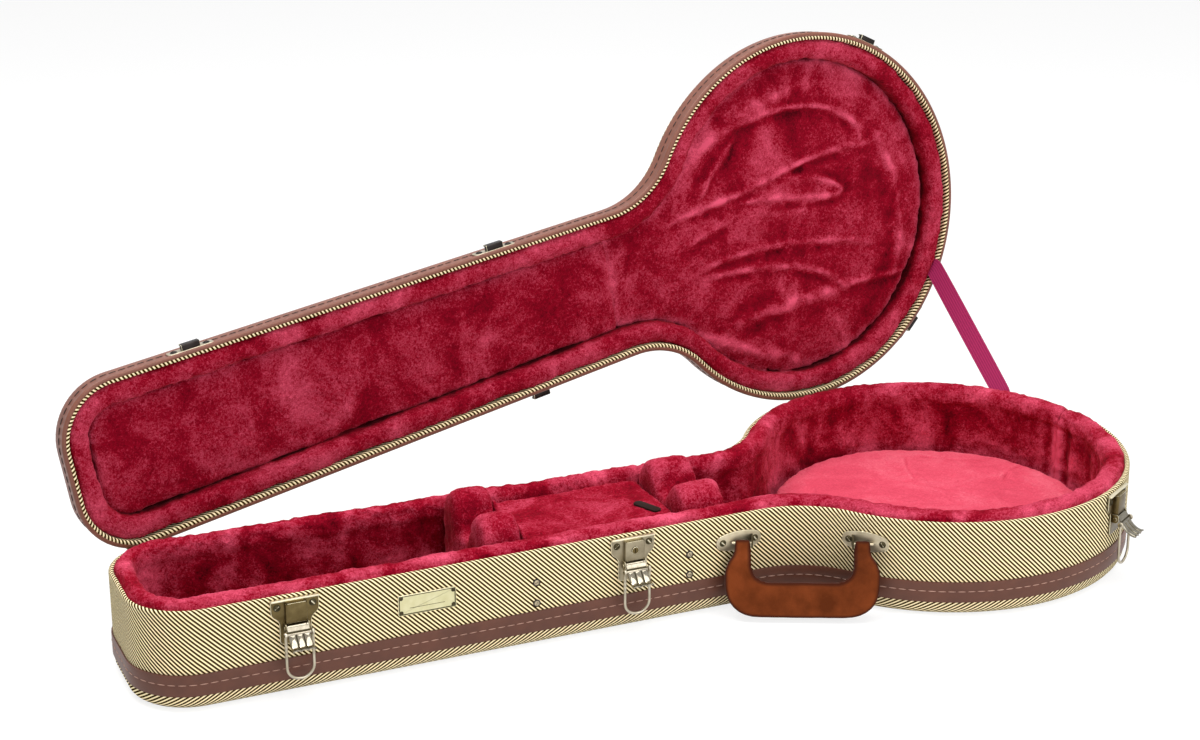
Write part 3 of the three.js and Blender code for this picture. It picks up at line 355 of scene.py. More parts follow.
@dataclass(frozen=True)
class Suede(Finish):
    """Brushed split leather: soft brown patches, rubbed darker here and there.

    The piece's worn attribute is 1 where the edge is burnished.
    """

    relief: float = 0.35
    relief_depth: float = 0.5 * MM
    colour: str = "#733514"
    rubbed: str = "#542307"
    edge: str = "#351206"
    grain: float = 1.6 * MM
    patch: float = 26 * MM
    rubbing: Pair = (0.34, 0.6)

    def pattern(self, tree: bpy.types.NodeTree, surface: bpy.types.Node) -> Sockets:
        """Rubs the leather in patches and gives it a short nap."""
        place = add_node(tree, "TexCoord").outputs["Object"]
        patch = add_node(tree, "TexNoise", inputs={"Vector": place, "Scale": 1 / self.patch, "Detail": 6.0})
        first, last = self.rubbing
        rub = add_node(
            tree, "MapRange", inputs={"Value": patch.outputs["Fac"], "From Min": first, "From Max": last}
        )
        shades = {"Factor": rub.outputs[0], "A": srgb(self.rubbed), "B": srgb(self.colour)}
        colour = add_node(tree, "Mix", BLEND, shades)
        worn = add_node(tree, "Attribute", {"attribute_name": "worn"})
        shades = {"Factor": worn.outputs["Fac"], "A": colour.outputs["Result"], "B": srgb(self.edge)}
        edged = add_node(tree, "Mix", BLEND, shades)
        surface.inputs["Sheen Weight"].default_value = 0.05
        nap = add_node(tree, "TexNoise", inputs={"Vector": place, "Scale": 1 / self.grain, "Detail": 3.0})
        return edged.outputs["Result"], nap.outputs["Fac"]


@dataclass(frozen=True)
class Webbing(Finish):
    """Woven ribbon with fine ribs along it. It reads the strap's UV map, in metres across it."""

    relief: float = 0.4
    relief_depth: float = 0.3 * MM
    colour: str = "#C8306C"
    shade: str = "#86164A"
    rib: float = 2.6 * MM

    def pattern(self, tree: bpy.types.NodeTree, surface: bpy.types.Node) -> Sockets:
        """Draws the ribs."""
        place = add_node(tree, "UVMap").outputs["UV"]
        apart = add_node(tree, "SeparateXYZ", inputs={0: place})
        turns = add_node(tree, "Math", TIMES, {0: apart.outputs[0], 1: 1 / self.rib})
        wave = add_node(tree, "Math", UP_AND_DOWN, {0: turns.outputs[0], 1: 0.5})
        shades = {"Factor": wave.outputs[0], "A": srgb(self.shade), "B": srgb(self.colour)}
        colour = add_node(tree, "Mix", BLEND, shades)
        return colour.outputs["Result"], wave.outputs[0]


@dataclass(frozen=True)
class BarePly(Finish):
    """Birch ply, sanded and left bare."""

    light: str = "#C9A87A"
    dark: str = "#A9854F"
    grain: Triple = (40.0, 700.0, 700.0)

    def pattern(self, tree: bpy.types.NodeTree, surface: bpy.types.Node) -> Sockets:
        """Draws the grain along the sheet."""
        place = add_node(tree, "TexCoord").outputs["Object"]
        drawn = add_node(tree, "Mapping", inputs={"Vector": place, "Scale": self.grain})
        grain = add_node(tree, "TexNoise", inputs={"Vector": drawn.outputs[0], "Scale": 1.0, "Detail": 4.0})
        shades = {"Factor": grain.outputs["Fac"], "A": srgb(self.light), "B": srgb(self.dark)}
        colour = add_node(tree, "Mix", BLEND, shades)
        return colour.outputs["Result"], grain.outputs["Fac"]


TWEED = Tweed("lacquered_tweed", "tweed_shell", rough=0.8, specular=0.0)
BAND = Leatherette("brown_leatherette", "binding", rough=0.45, specular=0.4)
# The lid's band: a lighter copy of the brown leatherette, painted light for a band lit more strongly than the
# base's.
LIT_BAND = Leatherette(
    "lit_leatherette", "binding", rough=0.45, specular=0.4, colour="#85503F", deep="#653A2C"
)
PALE_THREAD = Leatherette("pale_thread", "binding", rough=0.6, colour="#C79F8C", deep="#8E6858")
# The lid's thread: a darker copy of the same thread, painted shade.
THREAD_IN_SHADE = Leatherette("thread_in_shade", "binding", rough=0.6, colour="#24100C", deep="#140806")
PLUSH = Plush("crimson_plush", "plush")
WALL_PLUSH = Plush("wall_plush", "plush", tone=0.69, contrast=1.0)
PALE_PLUSH = Plush(
    "rose_plush", "pad_plush", deep="#AA2A40", body="#D24C62", bloom="#E87C8C", contrast=0.45, speckle=0.3
)
PLY = BarePly("birch_ply", "ply", rough=0.7, specular=0.3)
# Aged nickel: its dark olive colour is partly age and partly a painted reflection of dark surroundings.
AGED_NICKEL_AND_DARK_REFLECTION = PlatedMetal("aged_nickel_and_dark_reflection", "hardware", rough=0.24)
# Old steel: a dark steel for screw heads and washers and the nameplate's rule and pins, and painted shade in
# the lever's crease and flute valleys and on the bracket ears under their hoods.
OLD_STEEL_AND_SHADE = PlatedMetal("old_steel_and_shade", "hardware", rough=0.4, bright="#5E5640", tarnish="#2A2416")
# Rubbed nickel: plating rubbed bright on edges, and also a painted highlight on bevelled edges, the latch
# plate's lip and the screw slots; the wall screws' cups are made of it.
RUBBED_AND_HIGHLIT_NICKEL = PlatedMetal("rubbed_and_highlit_nickel", "hardware", rough=0.2, bright="#F2EBD2", tarnish="#C9BE9C")
SATIN_NICKEL = PlatedMetal("satin_nickel", "hardware", rough=0.38, bright="#D2C6AC", tarnish="#96896F")
DIM_NICKEL = PlatedMetal("dim_nickel", "hardware", rough=0.28, bright="#B2A78E", tarnish="#6A5F49")
PALE_NICKEL = PlatedMetal("pale_nickel", "hardware", rough=0.22, bright="#D2CAB8", tarnish="#8E826A")
ETCHED_BRASS = PlatedMetal("etched_brass", "hardware", rough=0.35, bright="#E2DDB8", tarnish="#C2BB8A")
# Bright chrome: its dark colours and small, strong clouds are partly tarnish and partly painted reflection of
# dark surroundings.
CHROME = PlatedMetal(
    "bright_chrome",
    "lever_chrome",
    rough=0.08,
    bright="#ACA493",
    tarnish="#6C6455",
    cloud=4 * MM,
    dulling=0.06,
)
# A darker copy of the chrome for the pot's levers: painted shade.
CHROME_IN_SHADE = PlatedMetal("chrome_in_shade", "lever_chrome", rough=0.16, bright="#9C9687", tarnish="#4A453A")
# Dark steel: painted shade on the pot's catches and on every catch's hook; it also darkens the wall screws'
# cup rims and slots.
DARK_STEEL = PlatedMetal("dark_steel", "hardware", rough=0.3, bright="#3C3735", tarnish="#1E1B1A")
# Marks 1 and 2 of most metal fittings: rubbed plating with painted highlight, and old steel with painted
# shade.
METAL_MARKS = (RUBBED_AND_HIGHLIT_NICKEL, OLD_STEEL_AND_SHADE)
SUEDE = Suede("rubbed_suede", "leather", rough=0.85, specular=0.08)
TAB_LEATHER = Suede("tab_leather", "leather", rough=0.8, specular=0.1, colour="#24130D", rubbed="#150906")
WEBBING = Webbing("rose_webbing", "webbing", rough=0.7, specular=0.25)


# Modelling


def rounded(corners: Corners, steps: int = 5) -> list[Pair]:
    """Rounds the corners of an outline.

    Args:
        corners: x, z and how far the round reaches to both sides of the corner, in millimetres.
        steps: how many segments each round has.

    Returns:
        The outline's points, in metres.
    """
    outline = []
    for i, (x, z, reach) in enumerate(corners):
        at = Vector((x, z))
        before = (Vector(corners[i - 1][:2]) - at).normalized() * reach
        after = (Vector(corners[(i + 1) % len(corners)][:2]) - at).normalized() * reach
        shares = [j / steps for j in range(steps + 1)] if reach else [0.0]
        outline += [tuple((at + before * (1 - f) ** 2 + after * f**2) * MM) for f in shares]
    return outline


def turned(points: np.ndarray, matrix: Matrix) -> np.ndarray:
    """Rows of points, carried by a matrix."""
    grid = np.array(matrix)
    return points @ grid[:3, :3].T + grid[:3, 3]


def eased(line: np.ndarray, rounds: int = 3) -> np.ndarray:
    """Cuts the corners of an open line until it is smooth.

    Args:
        line: its points.
        rounds: how many times the corners are cut.

    Returns:
        The smooth line, with the same ends.
    """
    for _ in range(rounds):
        near, far = line[:-1] * 0.75 + line[1:] * 0.25, line[:-1] * 0.25 + line[1:] * 0.75
        inner = np.stack([near, far], axis=1).reshape(-1, line.shape[1])
        line = np.concatenate([line[:1], inner, line[-1:]])
    return line


@cache
def blanks() -> tuple[bpy.types.Material, ...]:
    """The stand-ins for the finishes of marks 0, 1 and 2, until a piece is dressed."""
    return tuple(bpy.data.materials.new(f"mark_{number}") for number in range(3))


class Workpiece:
    """A mesh piece on the bench, from the operator that adds it to its place on the case."""

    def __init__(self, name: str) -> None:
        """Takes the object that an operator has just added, and gives it its marks' blanks."""
        self.obj = bpy.context.object
        self.obj.name = name
        self.obj.data.name = name
        if not self.obj.data.materials:
            for blank in blanks():
                self.obj.data.materials.append(blank)

    @classmethod
    def from_node(cls, name: str, *nodes: bpy.types.Object) -> Workpiece:
        """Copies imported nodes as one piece, with their loose triangles merged.

        Args:
            name: the piece's name.
            nodes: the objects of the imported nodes.

        Returns:
            The piece, where the nodes are.
        """
        mesh = bpy.data.meshes.new(name)
        shape = bmesh.new()
        for node in nodes:
            copy = node.data.copy()
            copy.transform(node.matrix_world)
            shape.from_mesh(copy)
            bpy.data.meshes.remove(copy)
        shape.to_mesh(mesh)
        shape.free()
        mesh.materials.clear()
        obj = bpy.data.objects.new(name, mesh)
        bpy.context.collection.objects.link(obj)
        bpy.context.view_layer.objects.active = obj
        piece = cls(name)
        with piece.editing():
            piece.merge_points()
        return piece

    @classmethod
    def from_sheet(cls, name: str, points: np.ndarray, uvs: np.ndarray) -> Workpiece:
        """Lays a grid over rows of points, and merges the rows and columns that meet.

        Args:
            name: the piece's name.
            points: rows by columns of positions.
            uvs: rows by columns of map positions, in metres.

        Returns:
            The piece, with its faces pointing outwards.
        """
        rows, columns = points.shape[0] - 1, points.shape[1] - 1
        bpy.ops.object.select_all(action="DESELECT")
        bpy.ops.mesh.primitive_grid_add(x_subdivisions=columns, y_subdivisions=rows, size=2)
        piece = cls(name)
        mesh = piece.obj.data
        at = np.empty(len(mesh.vertices) * 3)
        mesh.vertices.foreach_get("co", at)
        at = (at.reshape(-1, 3) + 1) / 2
        column = np.rint(at[:, 0] * columns).astype(int)
        row = np.rint(at[:, 1] * rows).astype(int)
        mesh.vertices.foreach_set("co", points[row, column].ravel())
        corner = np.empty(len(mesh.loops), dtype=int)
        mesh.loops.foreach_get("vertex_index", corner)
        mesh.uv_layers[0].data.foreach_set("uv", uvs[row[corner], column[corner]].ravel())
        mesh.update()
        with piece.editing():
            piece.merge_points()
            piece.face_outwards()
        return piece

    @classmethod
    def from_outline(cls, name: str, outline: Line, back: float, front: float) -> Workpiece:
        """Cuts a sheet to an outline and draws it out from the wall.

        Args:
            name: the piece's name.
            outline: its points in order, as x and z.
            back: how far out from the wall its back is.
            front: how far out its front is.

        Returns:
            The piece.
        """
        bpy.ops.object.select_all(action="DESELECT")
        bpy.ops.mesh.primitive_circle_add(vertices=len(outline), fill_type="NGON")
        piece = cls(name)
        for vertex, (x, z) in zip(piece.obj.data.vertices, outline):
            vertex.co = (x, -back, z)
        with piece.editing():
            bpy.ops.mesh.select_all(action="SELECT")
            bpy.ops.mesh.extrude_region_move(TRANSFORM_OT_translate={"value": (0, back - front, 0)})
            piece.face_outwards()
        return piece

    @classmethod
    def from_profile(cls, name: str, profile: Line, low: float, high: float) -> Workpiece:
        """Draws a side view out along X.

        Args:
            name: the piece's name.
            profile: its points in order, as distances out from the wall and heights.
            low: the x it starts at.
            high: the x it ends at.

        Returns:
            The piece.
        """
        piece = cls.from_outline(name, profile, -low, -high)
        piece.move(Matrix.Rotation(math.radians(-90), 4, "Z"))
        return piece

    @classmethod
    def from_box(cls, name: str, low: Sequence[float], high: Sequence[float]) -> Workpiece:
        """Adds a box between two corners, given in millimetres."""
        middle = [(a + b) / 2 * MM for a, b in zip(low, high)]
        size = [(b - a) * MM for a, b in zip(low, high)]
        bpy.ops.object.select_all(action="DESELECT")
        bpy.ops.mesh.primitive_cube_add(size=1, location=middle, scale=size)
        piece = cls(name)
        piece.move(Matrix())
        return piece

    @classmethod
    def from_rod(cls, name: str, radius: float, ends: Corners, sides: int = 20) -> Workpiece:
        """Adds a rod.

        Args:
            name: the piece's name.
            radius: its radius, in millimetres.
            ends: the middles of its two ends, in millimetres.
            sides: how many sides it has.

        Returns:
            The piece.
        """
        low, high = Vector(ends[0]) * MM, Vector(ends[1]) * MM
        bpy.ops.object.select_all(action="DESELECT")
        bpy.ops.mesh.primitive_cylinder_add(vertices=sides, radius=radius * MM, depth=(high - low).length)
        piece = cls(name)
        turn = (high - low).to_track_quat("Z", "Y").to_matrix().to_4x4()
        piece.move(Matrix.Translation((low + high) / 2) @ turn)
        return piece

    @classmethod
    def from_wire(cls, name: str, path: np.ndarray, radius: float, sides: int = 10) -> Workpiece:
        """Bends a round wire along a path in a plane that faces the wall.

        Args:
            name: the piece's name.
            path: its points.
            radius: the wire's radius.
            sides: how many sides it has.

        Returns:
            The piece.
        """
        along = np.gradient(path, axis=0)
        along /= np.linalg.norm(along, axis=1, keepdims=True)
        out = np.array([0.0, -1.0, 0.0])
        across = np.cross(along, out)
        angles = np.linspace(0, 2 * math.pi, sides + 1)[:, None, None]
        points = path + radius * (np.cos(angles) * out + np.sin(angles) * across)
        piece = cls.from_sheet(name, points, np.zeros((*points.shape[:2], 2)))
        with piece.editing():
            piece.close_ends()
            piece.face_outwards()
        return piece

    def copied(self, name: str, matrix: Matrix) -> Workpiece:
        """Copies the piece, with its own mesh, to a place on the case.

        Args:
            name: the copy's name.
            matrix: from where this one was made to the copy's place.

        Returns:
            The copy.
        """
        self.alone()
        bpy.ops.object.duplicate(linked=False)
        piece = Workpiece(name)
        piece.move(matrix)
        return piece

    def merge_points(self) -> None:
        """Merges the points that lie in one place, in edit mode."""
        bpy.ops.mesh.select_all(action="SELECT")
        bpy.ops.mesh.remove_doubles(threshold=SAME_PLACE)

    def close_ends(self) -> None:
        """Fills each open end of the piece with one face, in edit mode."""
        bpy.ops.mesh.select_mode(type="EDGE")
        bpy.ops.mesh.select_all(action="DESELECT")
        bpy.ops.mesh.select_non_manifold()
        bpy.ops.mesh.edge_face_add()

    def face_outwards(self) -> None:
        """Turns every face of the piece outwards, in edit mode."""
        bpy.ops.mesh.select_all(action="SELECT")
        bpy.ops.mesh.normals_make_consistent(inside=False)

    def discard(self) -> None:
        """Clears the piece off the bench."""
        bpy.data.objects.remove(self.obj)

    def bevel(self, width: float, sharp: float = 35.0, segments: int = 2) -> None:
        """Rounds the sharp edges, and marks their faces with mark 1: rubbed plating, partly a painted
        highlight on the edges.

        Args:
            width: the width of the round.
            sharp: the angle, in degrees, from which an edge is sharp.
            segments: how many segments the round has.
        """
        self.modify(
            "BEVEL",
            width=width,
            segments=segments,
            limit_method="ANGLE",
            angle_limit=math.radians(sharp),
            material=1,
        )

    def mark(self, number: int, test: Callable[[Vector], bool] = lambda _: True) -> None:
        """Marks the faces whose middle passes a test, for the finish of that number."""
        for face in self.obj.data.polygons:
            if test(face.center):
                face.material_index = number

    def cut(self, tool: Workpiece) -> None:
        """Cuts another piece's shape out of this one, and clears it away."""
        self.modify("BOOLEAN", operation="DIFFERENCE", object=tool.obj, solver="EXACT")
        tool.discard()

    def alone(self) -> None:
        """Makes this the only selected object, and the active one."""
        bpy.ops.object.select_all(action="DESELECT")
        self.obj.select_set(True)
        bpy.context.view_layer.objects.active = self.obj

    @contextmanager
    def editing(self) -> Iterator[None]:
        """Puts the piece in edit mode for as long as the block runs."""
        self.alone()
        bpy.ops.object.mode_set(mode="EDIT")
        try:
            yield
        finally:
            bpy.ops.object.mode_set(mode="OBJECT")

    def pick(self, kind: str, test: Callable[[Vector, Vector], bool]) -> None:
        """Selects the vertices, edges or faces whose middle and normal pass a test, in edit mode.

        Args:
            kind: VERT, EDGE or FACE.
            test: takes the element's middle and its normal.
        """
        bpy.ops.mesh.select_mode(type=kind)
        bpy.ops.mesh.select_all(action="DESELECT")
        shape = bmesh.from_edit_mesh(self.obj.data)
        shape.normal_update()
        if kind == "FACE":
            for face in shape.faces:
                face.select_set(test(face.calc_center_median(), face.normal))
        elif kind == "EDGE":
            for edge in shape.edges:
                ends = edge.verts
                edge.select_set(test((ends[0].co + ends[1].co) / 2, ends[0].normal + ends[1].normal))
        else:
            for vertex in shape.verts:
                vertex.select_set(test(vertex.co, vertex.normal))
        bmesh.update_edit_mesh(self.obj.data)

    def modify(self, kind: str, **settings: object) -> None:
        """Adds a modifier with its settings and applies it.

        Args:
            kind: the modifier's type.
            settings: its attributes by name.
        """
        self.alone()
        bpy.ops.object.modifier_add(type=kind)
        modifier = self.obj.modifiers[-1]
        for name, value in settings.items():
            setattr(modifier, name, value)
        bpy.ops.object.modifier_apply(modifier=modifier.name)

    def move(self, matrix: Matrix) -> None:
        """Carries the mesh to its place, and leaves the object at the origin.

        Args:
            matrix: from where the piece was made to its place on the case.
        """
        self.obj.matrix_world = matrix @ self.obj.matrix_world
        self.alone()
        bpy.ops.object.transform_apply(location=True, rotation=True, scale=True)

    def smooth(self, degrees: float = 35.0) -> None:
        """Shades the piece smooth but for its sharp edges.

        Args:
            degrees: the angle from which an edge is sharp.
        """
        self.alone()
        bpy.ops.object.shade_smooth_by_angle(angle=math.radians(degrees))

    def push(self, lifts: np.ndarray) -> None:
        """Moves each point along its normal.

        Args:
            lifts: the distance to move each point by.
        """
        self.reshape(self.points() + self.normals() * lifts[:, None])

    def reshape(self, at: np.ndarray) -> None:
        """Puts the vertices at new places."""
        self.obj.data.vertices.foreach_set("co", at.ravel())
        self.obj.data.update()

    def points(self) -> np.ndarray:
        """The places of the vertices."""
        at = np.empty(len(self.obj.data.vertices) * 3)
        self.obj.data.vertices.foreach_get("co", at)
        return at.reshape(-1, 3)

    def normals(self) -> np.ndarray:
        """The normals of the vertices."""
        facing = np.empty(len(self.obj.data.vertices) * 3)
        self.obj.data.vertex_normals.foreach_get("vector", facing)
        return facing.reshape(-1, 3)

    def bulge(self, rounds: int = 12) -> np.ndarray:
        """How much the surface bends outwards round each vertex, evened out over its neighbours.

        Args:
            rounds: how many times the values are evened out.

        Returns:
            The bend, in metres, which is negative in hollows.
        """
        mesh = self.obj.data
        ends = np.empty(len(mesh.edges) * 2, dtype=int)
        mesh.edges.foreach_get("vertices", ends)
        ends = ends.reshape(-1, 2)
        count = np.bincount(ends.ravel(), minlength=len(mesh.vertices))[:, None]

        def around(values: np.ndarray) -> np.ndarray:
            """The mean of the values of each vertex's neighbours."""
            total = np.zeros_like(values)
            np.add.at(total, ends[:, 0], values[ends[:, 1]])
            np.add.at(total, ends[:, 1], values[ends[:, 0]])
            return total / np.maximum(count, 1)

        at = self.points()
        bend = ((at - around(at)) * self.normals()).sum(axis=1, keepdims=True)
        for _ in range(rounds):
            bend = around(bend)
        return bend[:, 0]

    def join(self, *others: Workpiece) -> None:
        """Makes other pieces part of this one."""
        self.alone()
        for other in others:
            other.obj.select_set(True)
        bpy.ops.object.join()

    def repeated(self, matrices: Sequence[Matrix]) -> None:
        """Copies the piece's mesh to each of several places, in one mesh.

        Args:
            matrices: the place of each copy.
        """
        one = self.obj.data.copy()
        shape = bmesh.new()
        for matrix in matrices:
            first = len(shape.verts)
            shape.from_mesh(one)
            shape.verts.ensure_lookup_table()
            bmesh.ops.transform(shape, matrix=matrix, verts=shape.verts[first:])
        shape.to_mesh(self.obj.data)
        shape.free()
        bpy.data.meshes.remove(one)

    def finish(
        self, finish: Finish, body: str, *nodes: str, marked: Sequence[Finish] = ()
    ) -> bpy.types.Object:
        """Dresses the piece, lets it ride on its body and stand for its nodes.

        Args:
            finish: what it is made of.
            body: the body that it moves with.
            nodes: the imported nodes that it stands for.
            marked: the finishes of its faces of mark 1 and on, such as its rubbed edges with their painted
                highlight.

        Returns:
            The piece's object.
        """
        mesh = self.obj.data
        marks = np.empty(len(mesh.polygons), dtype=int)
        mesh.polygons.foreach_get("material_index", marks)
        mesh.materials.clear()
        for part in (finish, *marked):
            mesh.materials.append(part.material)
        mesh.polygons.foreach_set("material_index", np.clip(marks, 0, len(marked)))
        mesh.update()
        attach(self.obj, body)
        if nodes:
            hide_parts(*nodes)
        log.info("%s: %d faces on %s", self.obj.name, len(self.obj.data.polygons), body)
        return self.obj


# The case's outline


@dataclass(frozen=True)
class CasePlan:
    """The wall seen from above. A place on it is the distance walked along the wall, from the
    middle of the head end, along the front, round the pot and back along the rear."""

    length: float = 1040 * MM
    pot_radius: float = 197 * MM
    head_half_width: float = 83.5 * MM
    waist_half_width: float = 76 * MM
    neck_run: float = 608 * MM
    head_corner: float = 58 * MM
    throat: float = 90 * MM

    @cached_property
    def pot_centre(self) -> float:
        """How far the pot's centre is from the head end."""
        return self.length - self.pot_radius

    @cached_property
    def taper(self) -> float:
        """How much the neck's half width changes with each metre along it."""
        return (self.waist_half_width - self.head_half_width) / self.neck_run

    @cached_property
    def lean(self) -> float:
        """The length of neck wall on each metre of the case."""
        return math.hypot(1, self.taper)

    @cached_property
    def corner_centre(self) -> np.ndarray:
        """The centre of the rear head corner."""
        across = self.head_half_width + (self.taper - self.lean) * self.head_corner
        return np.array([self.head_corner, across])

    @cached_property
    def throat_centre(self) -> np.ndarray:
        """The centre of the hollow round between the neck and the pot, at the rear."""
        height = self.head_half_width + self.throat * self.lean
        a = 1 + self.taper**2
        b = 2 * (self.taper * height - self.pot_centre)
        c = self.pot_centre**2 + height**2 - (self.pot_radius + self.throat) ** 2
        x = (-b - math.sqrt(b * b - 4 * a * c)) / (2 * a)
        return np.array([x, height + self.taper * x])

    @cached_property
    def neck_normal(self) -> np.ndarray:
        """The outward normal of the neck's rear wall."""
        return np.array([-self.taper, 1]) / self.lean

    @cached_property
    def pot_start(self) -> float:
        """The angle on the pot, from +X, where the throat meets it."""
        across = self.throat_centre
        return math.pi - math.atan2(across[1], self.pot_centre - across[0])

    @cached_property
    def corner_end(self) -> np.ndarray:
        """Where the head corner runs into the neck's wall."""
        return self.corner_centre + self.neck_normal * self.head_corner

    @cached_property
    def throat_start(self) -> np.ndarray:
        """Where the neck's wall runs into the throat."""
        return self.throat_centre - self.neck_normal * self.throat

    @cached_property
    def runs(self) -> tuple[float, float, float, float, float]:
        """The lengths of the head end, corner, neck, throat and half pot."""
        normal = math.atan2(self.neck_normal[1], self.neck_normal[0])
        neck = float(np.linalg.norm(self.throat_start - self.corner_end))
        turn = normal - (self.pot_start - math.pi) - math.pi
        return (
            float(self.corner_centre[1]),
            (math.pi - normal) * self.head_corner,
            neck,
            abs(turn) * self.throat,
            self.pot_start * self.pot_radius,
        )

    @cached_property
    def half_way(self) -> float:
        """The place at the far end of the pot."""
        return sum(self.runs)

    @cached_property
    def around(self) -> float:
        """The whole way round."""
        return 2 * self.half_way

    def wall(self, place: float) -> tuple[float, float, float, float]:
        """The wall's point and its outward normal at a place, as x, y, nx and ny."""
        turned = place % self.around
        side = -1 if turned <= self.half_way else 1
        left = turned if turned <= self.half_way else self.around - turned
        end, corner, neck, throat, _ = self.runs
        normal = math.atan2(self.neck_normal[1], self.neck_normal[0])
        if left <= end:
            point, facing = np.array([0, left]), np.array([-1.0, 0.0])
        elif left <= end + corner:
            angle = math.pi - (left - end) / self.head_corner
            facing = np.array([math.cos(angle), math.sin(angle)])
            point = self.corner_centre + self.head_corner * facing
        elif left <= end + corner + neck:
            share = (left - end - corner) / neck
            point = self.corner_end + (self.throat_start - self.corner_end) * share
            facing = self.neck_normal
        elif left <= end + corner + neck + throat:
            angle = normal - math.pi + (left - end - corner - neck) / self.throat
            facing = -np.array([math.cos(angle), math.sin(angle)])
            point = self.throat_centre - self.throat * facing
        else:
            angle = self.pot_start - (left - end - corner - neck - throat) / self.pot_radius
            facing = np.array([math.cos(angle), math.sin(angle)])
            point = np.array([self.pot_centre, 0]) + self.pot_radius * facing
        return point[0] - self.length / 2, side * point[1], facing[0], side * facing[1]

    def front_neck(self, x: float) -> float:
        """The place on the front neck wall at a distance from the head end."""
        return self.runs[0] + self.runs[1] + (x - self.corner_end[0]) * self.lean

    def rear_neck(self, x: float) -> float:
        """The place on the rear neck wall at a distance from the head end."""
        return self.around - self.front_neck(x)

    def around_pot(self, degrees: float) -> float:
        """The place on the pot by its angle from +X, which is negative at the front."""
        along = (self.pot_start - abs(math.radians(degrees))) * self.pot_radius
        pot = self.half_way - self.runs[4]
        return pot + along if degrees <= 0 else self.around - pot - along

    def stations(self, start: float, end: float, step: float) -> np.ndarray:
        """Evenly spaced places from start to end, about a step apart."""
        return np.linspace(start, end, max(2, math.ceil((end - start) / step) + 1))

    def sweep(self, places: Sequence[float], section: Line) -> tuple[np.ndarray, np.ndarray]:
        """Carries a section along the wall.

        Args:
            places: where the section stands.
            section: distances out from the wall, and heights.

        Returns:
            Rows of points, one for each point of the section, and the same rows of map positions.
        """
        walls = np.array([self.wall(place) for place in places])
        out, height = np.array(section).T
        points = np.empty((len(section), len(places), 3))
        points[..., 0] = walls[:, 0] + out[:, None] * walls[:, 2]
        points[..., 1] = walls[:, 1] + out[:, None] * walls[:, 3]
        points[..., 2] = height[:, None]
        up = np.concatenate([[0], np.cumsum(np.hypot(np.diff(out), np.diff(height)))])
        uvs = np.empty((len(section), len(places), 2))
        uvs[..., 0] = np.array(places)
        uvs[..., 1] = up[:, None]
        return points, uvs

    def frame_at(self, place: float, height: float) -> Matrix:
        """The place of a fitting on the wall: X runs along the wall, Y into it and Z up."""
        x, y, nx, ny = self.wall(place)
        turn = Matrix.Rotation(math.atan2(nx, -ny), 4, "Z")
        return Matrix.Translation((x, y, height)) @ turn


PLAN = CasePlan()


@dataclass(frozen=True)
class LidHinge:
    """The line that the lid turns on, and how far it stands open."""

    point: Triple = (-470.98 * MM, 85.72 * MM, 86.0 * MM)
    axis: Triple = (0.98931, 0.14584, 0.0)
    opening: float = 94.4

    @cached_property
    def opened(self) -> Matrix:
        """From the shut lid's place to the open one's."""
        at = Matrix.Translation(self.point)
        turn = Matrix.Rotation(-math.radians(self.opening), 4, Vector(self.axis))
        return at @ turn @ at.inverted()


HINGE = LidHinge()


class Half(Enum):
    """The two halves of the case: the body each moves with, and the way its outside faces."""

    BASE = ("base", -1)
    LID = ("lid", 1)


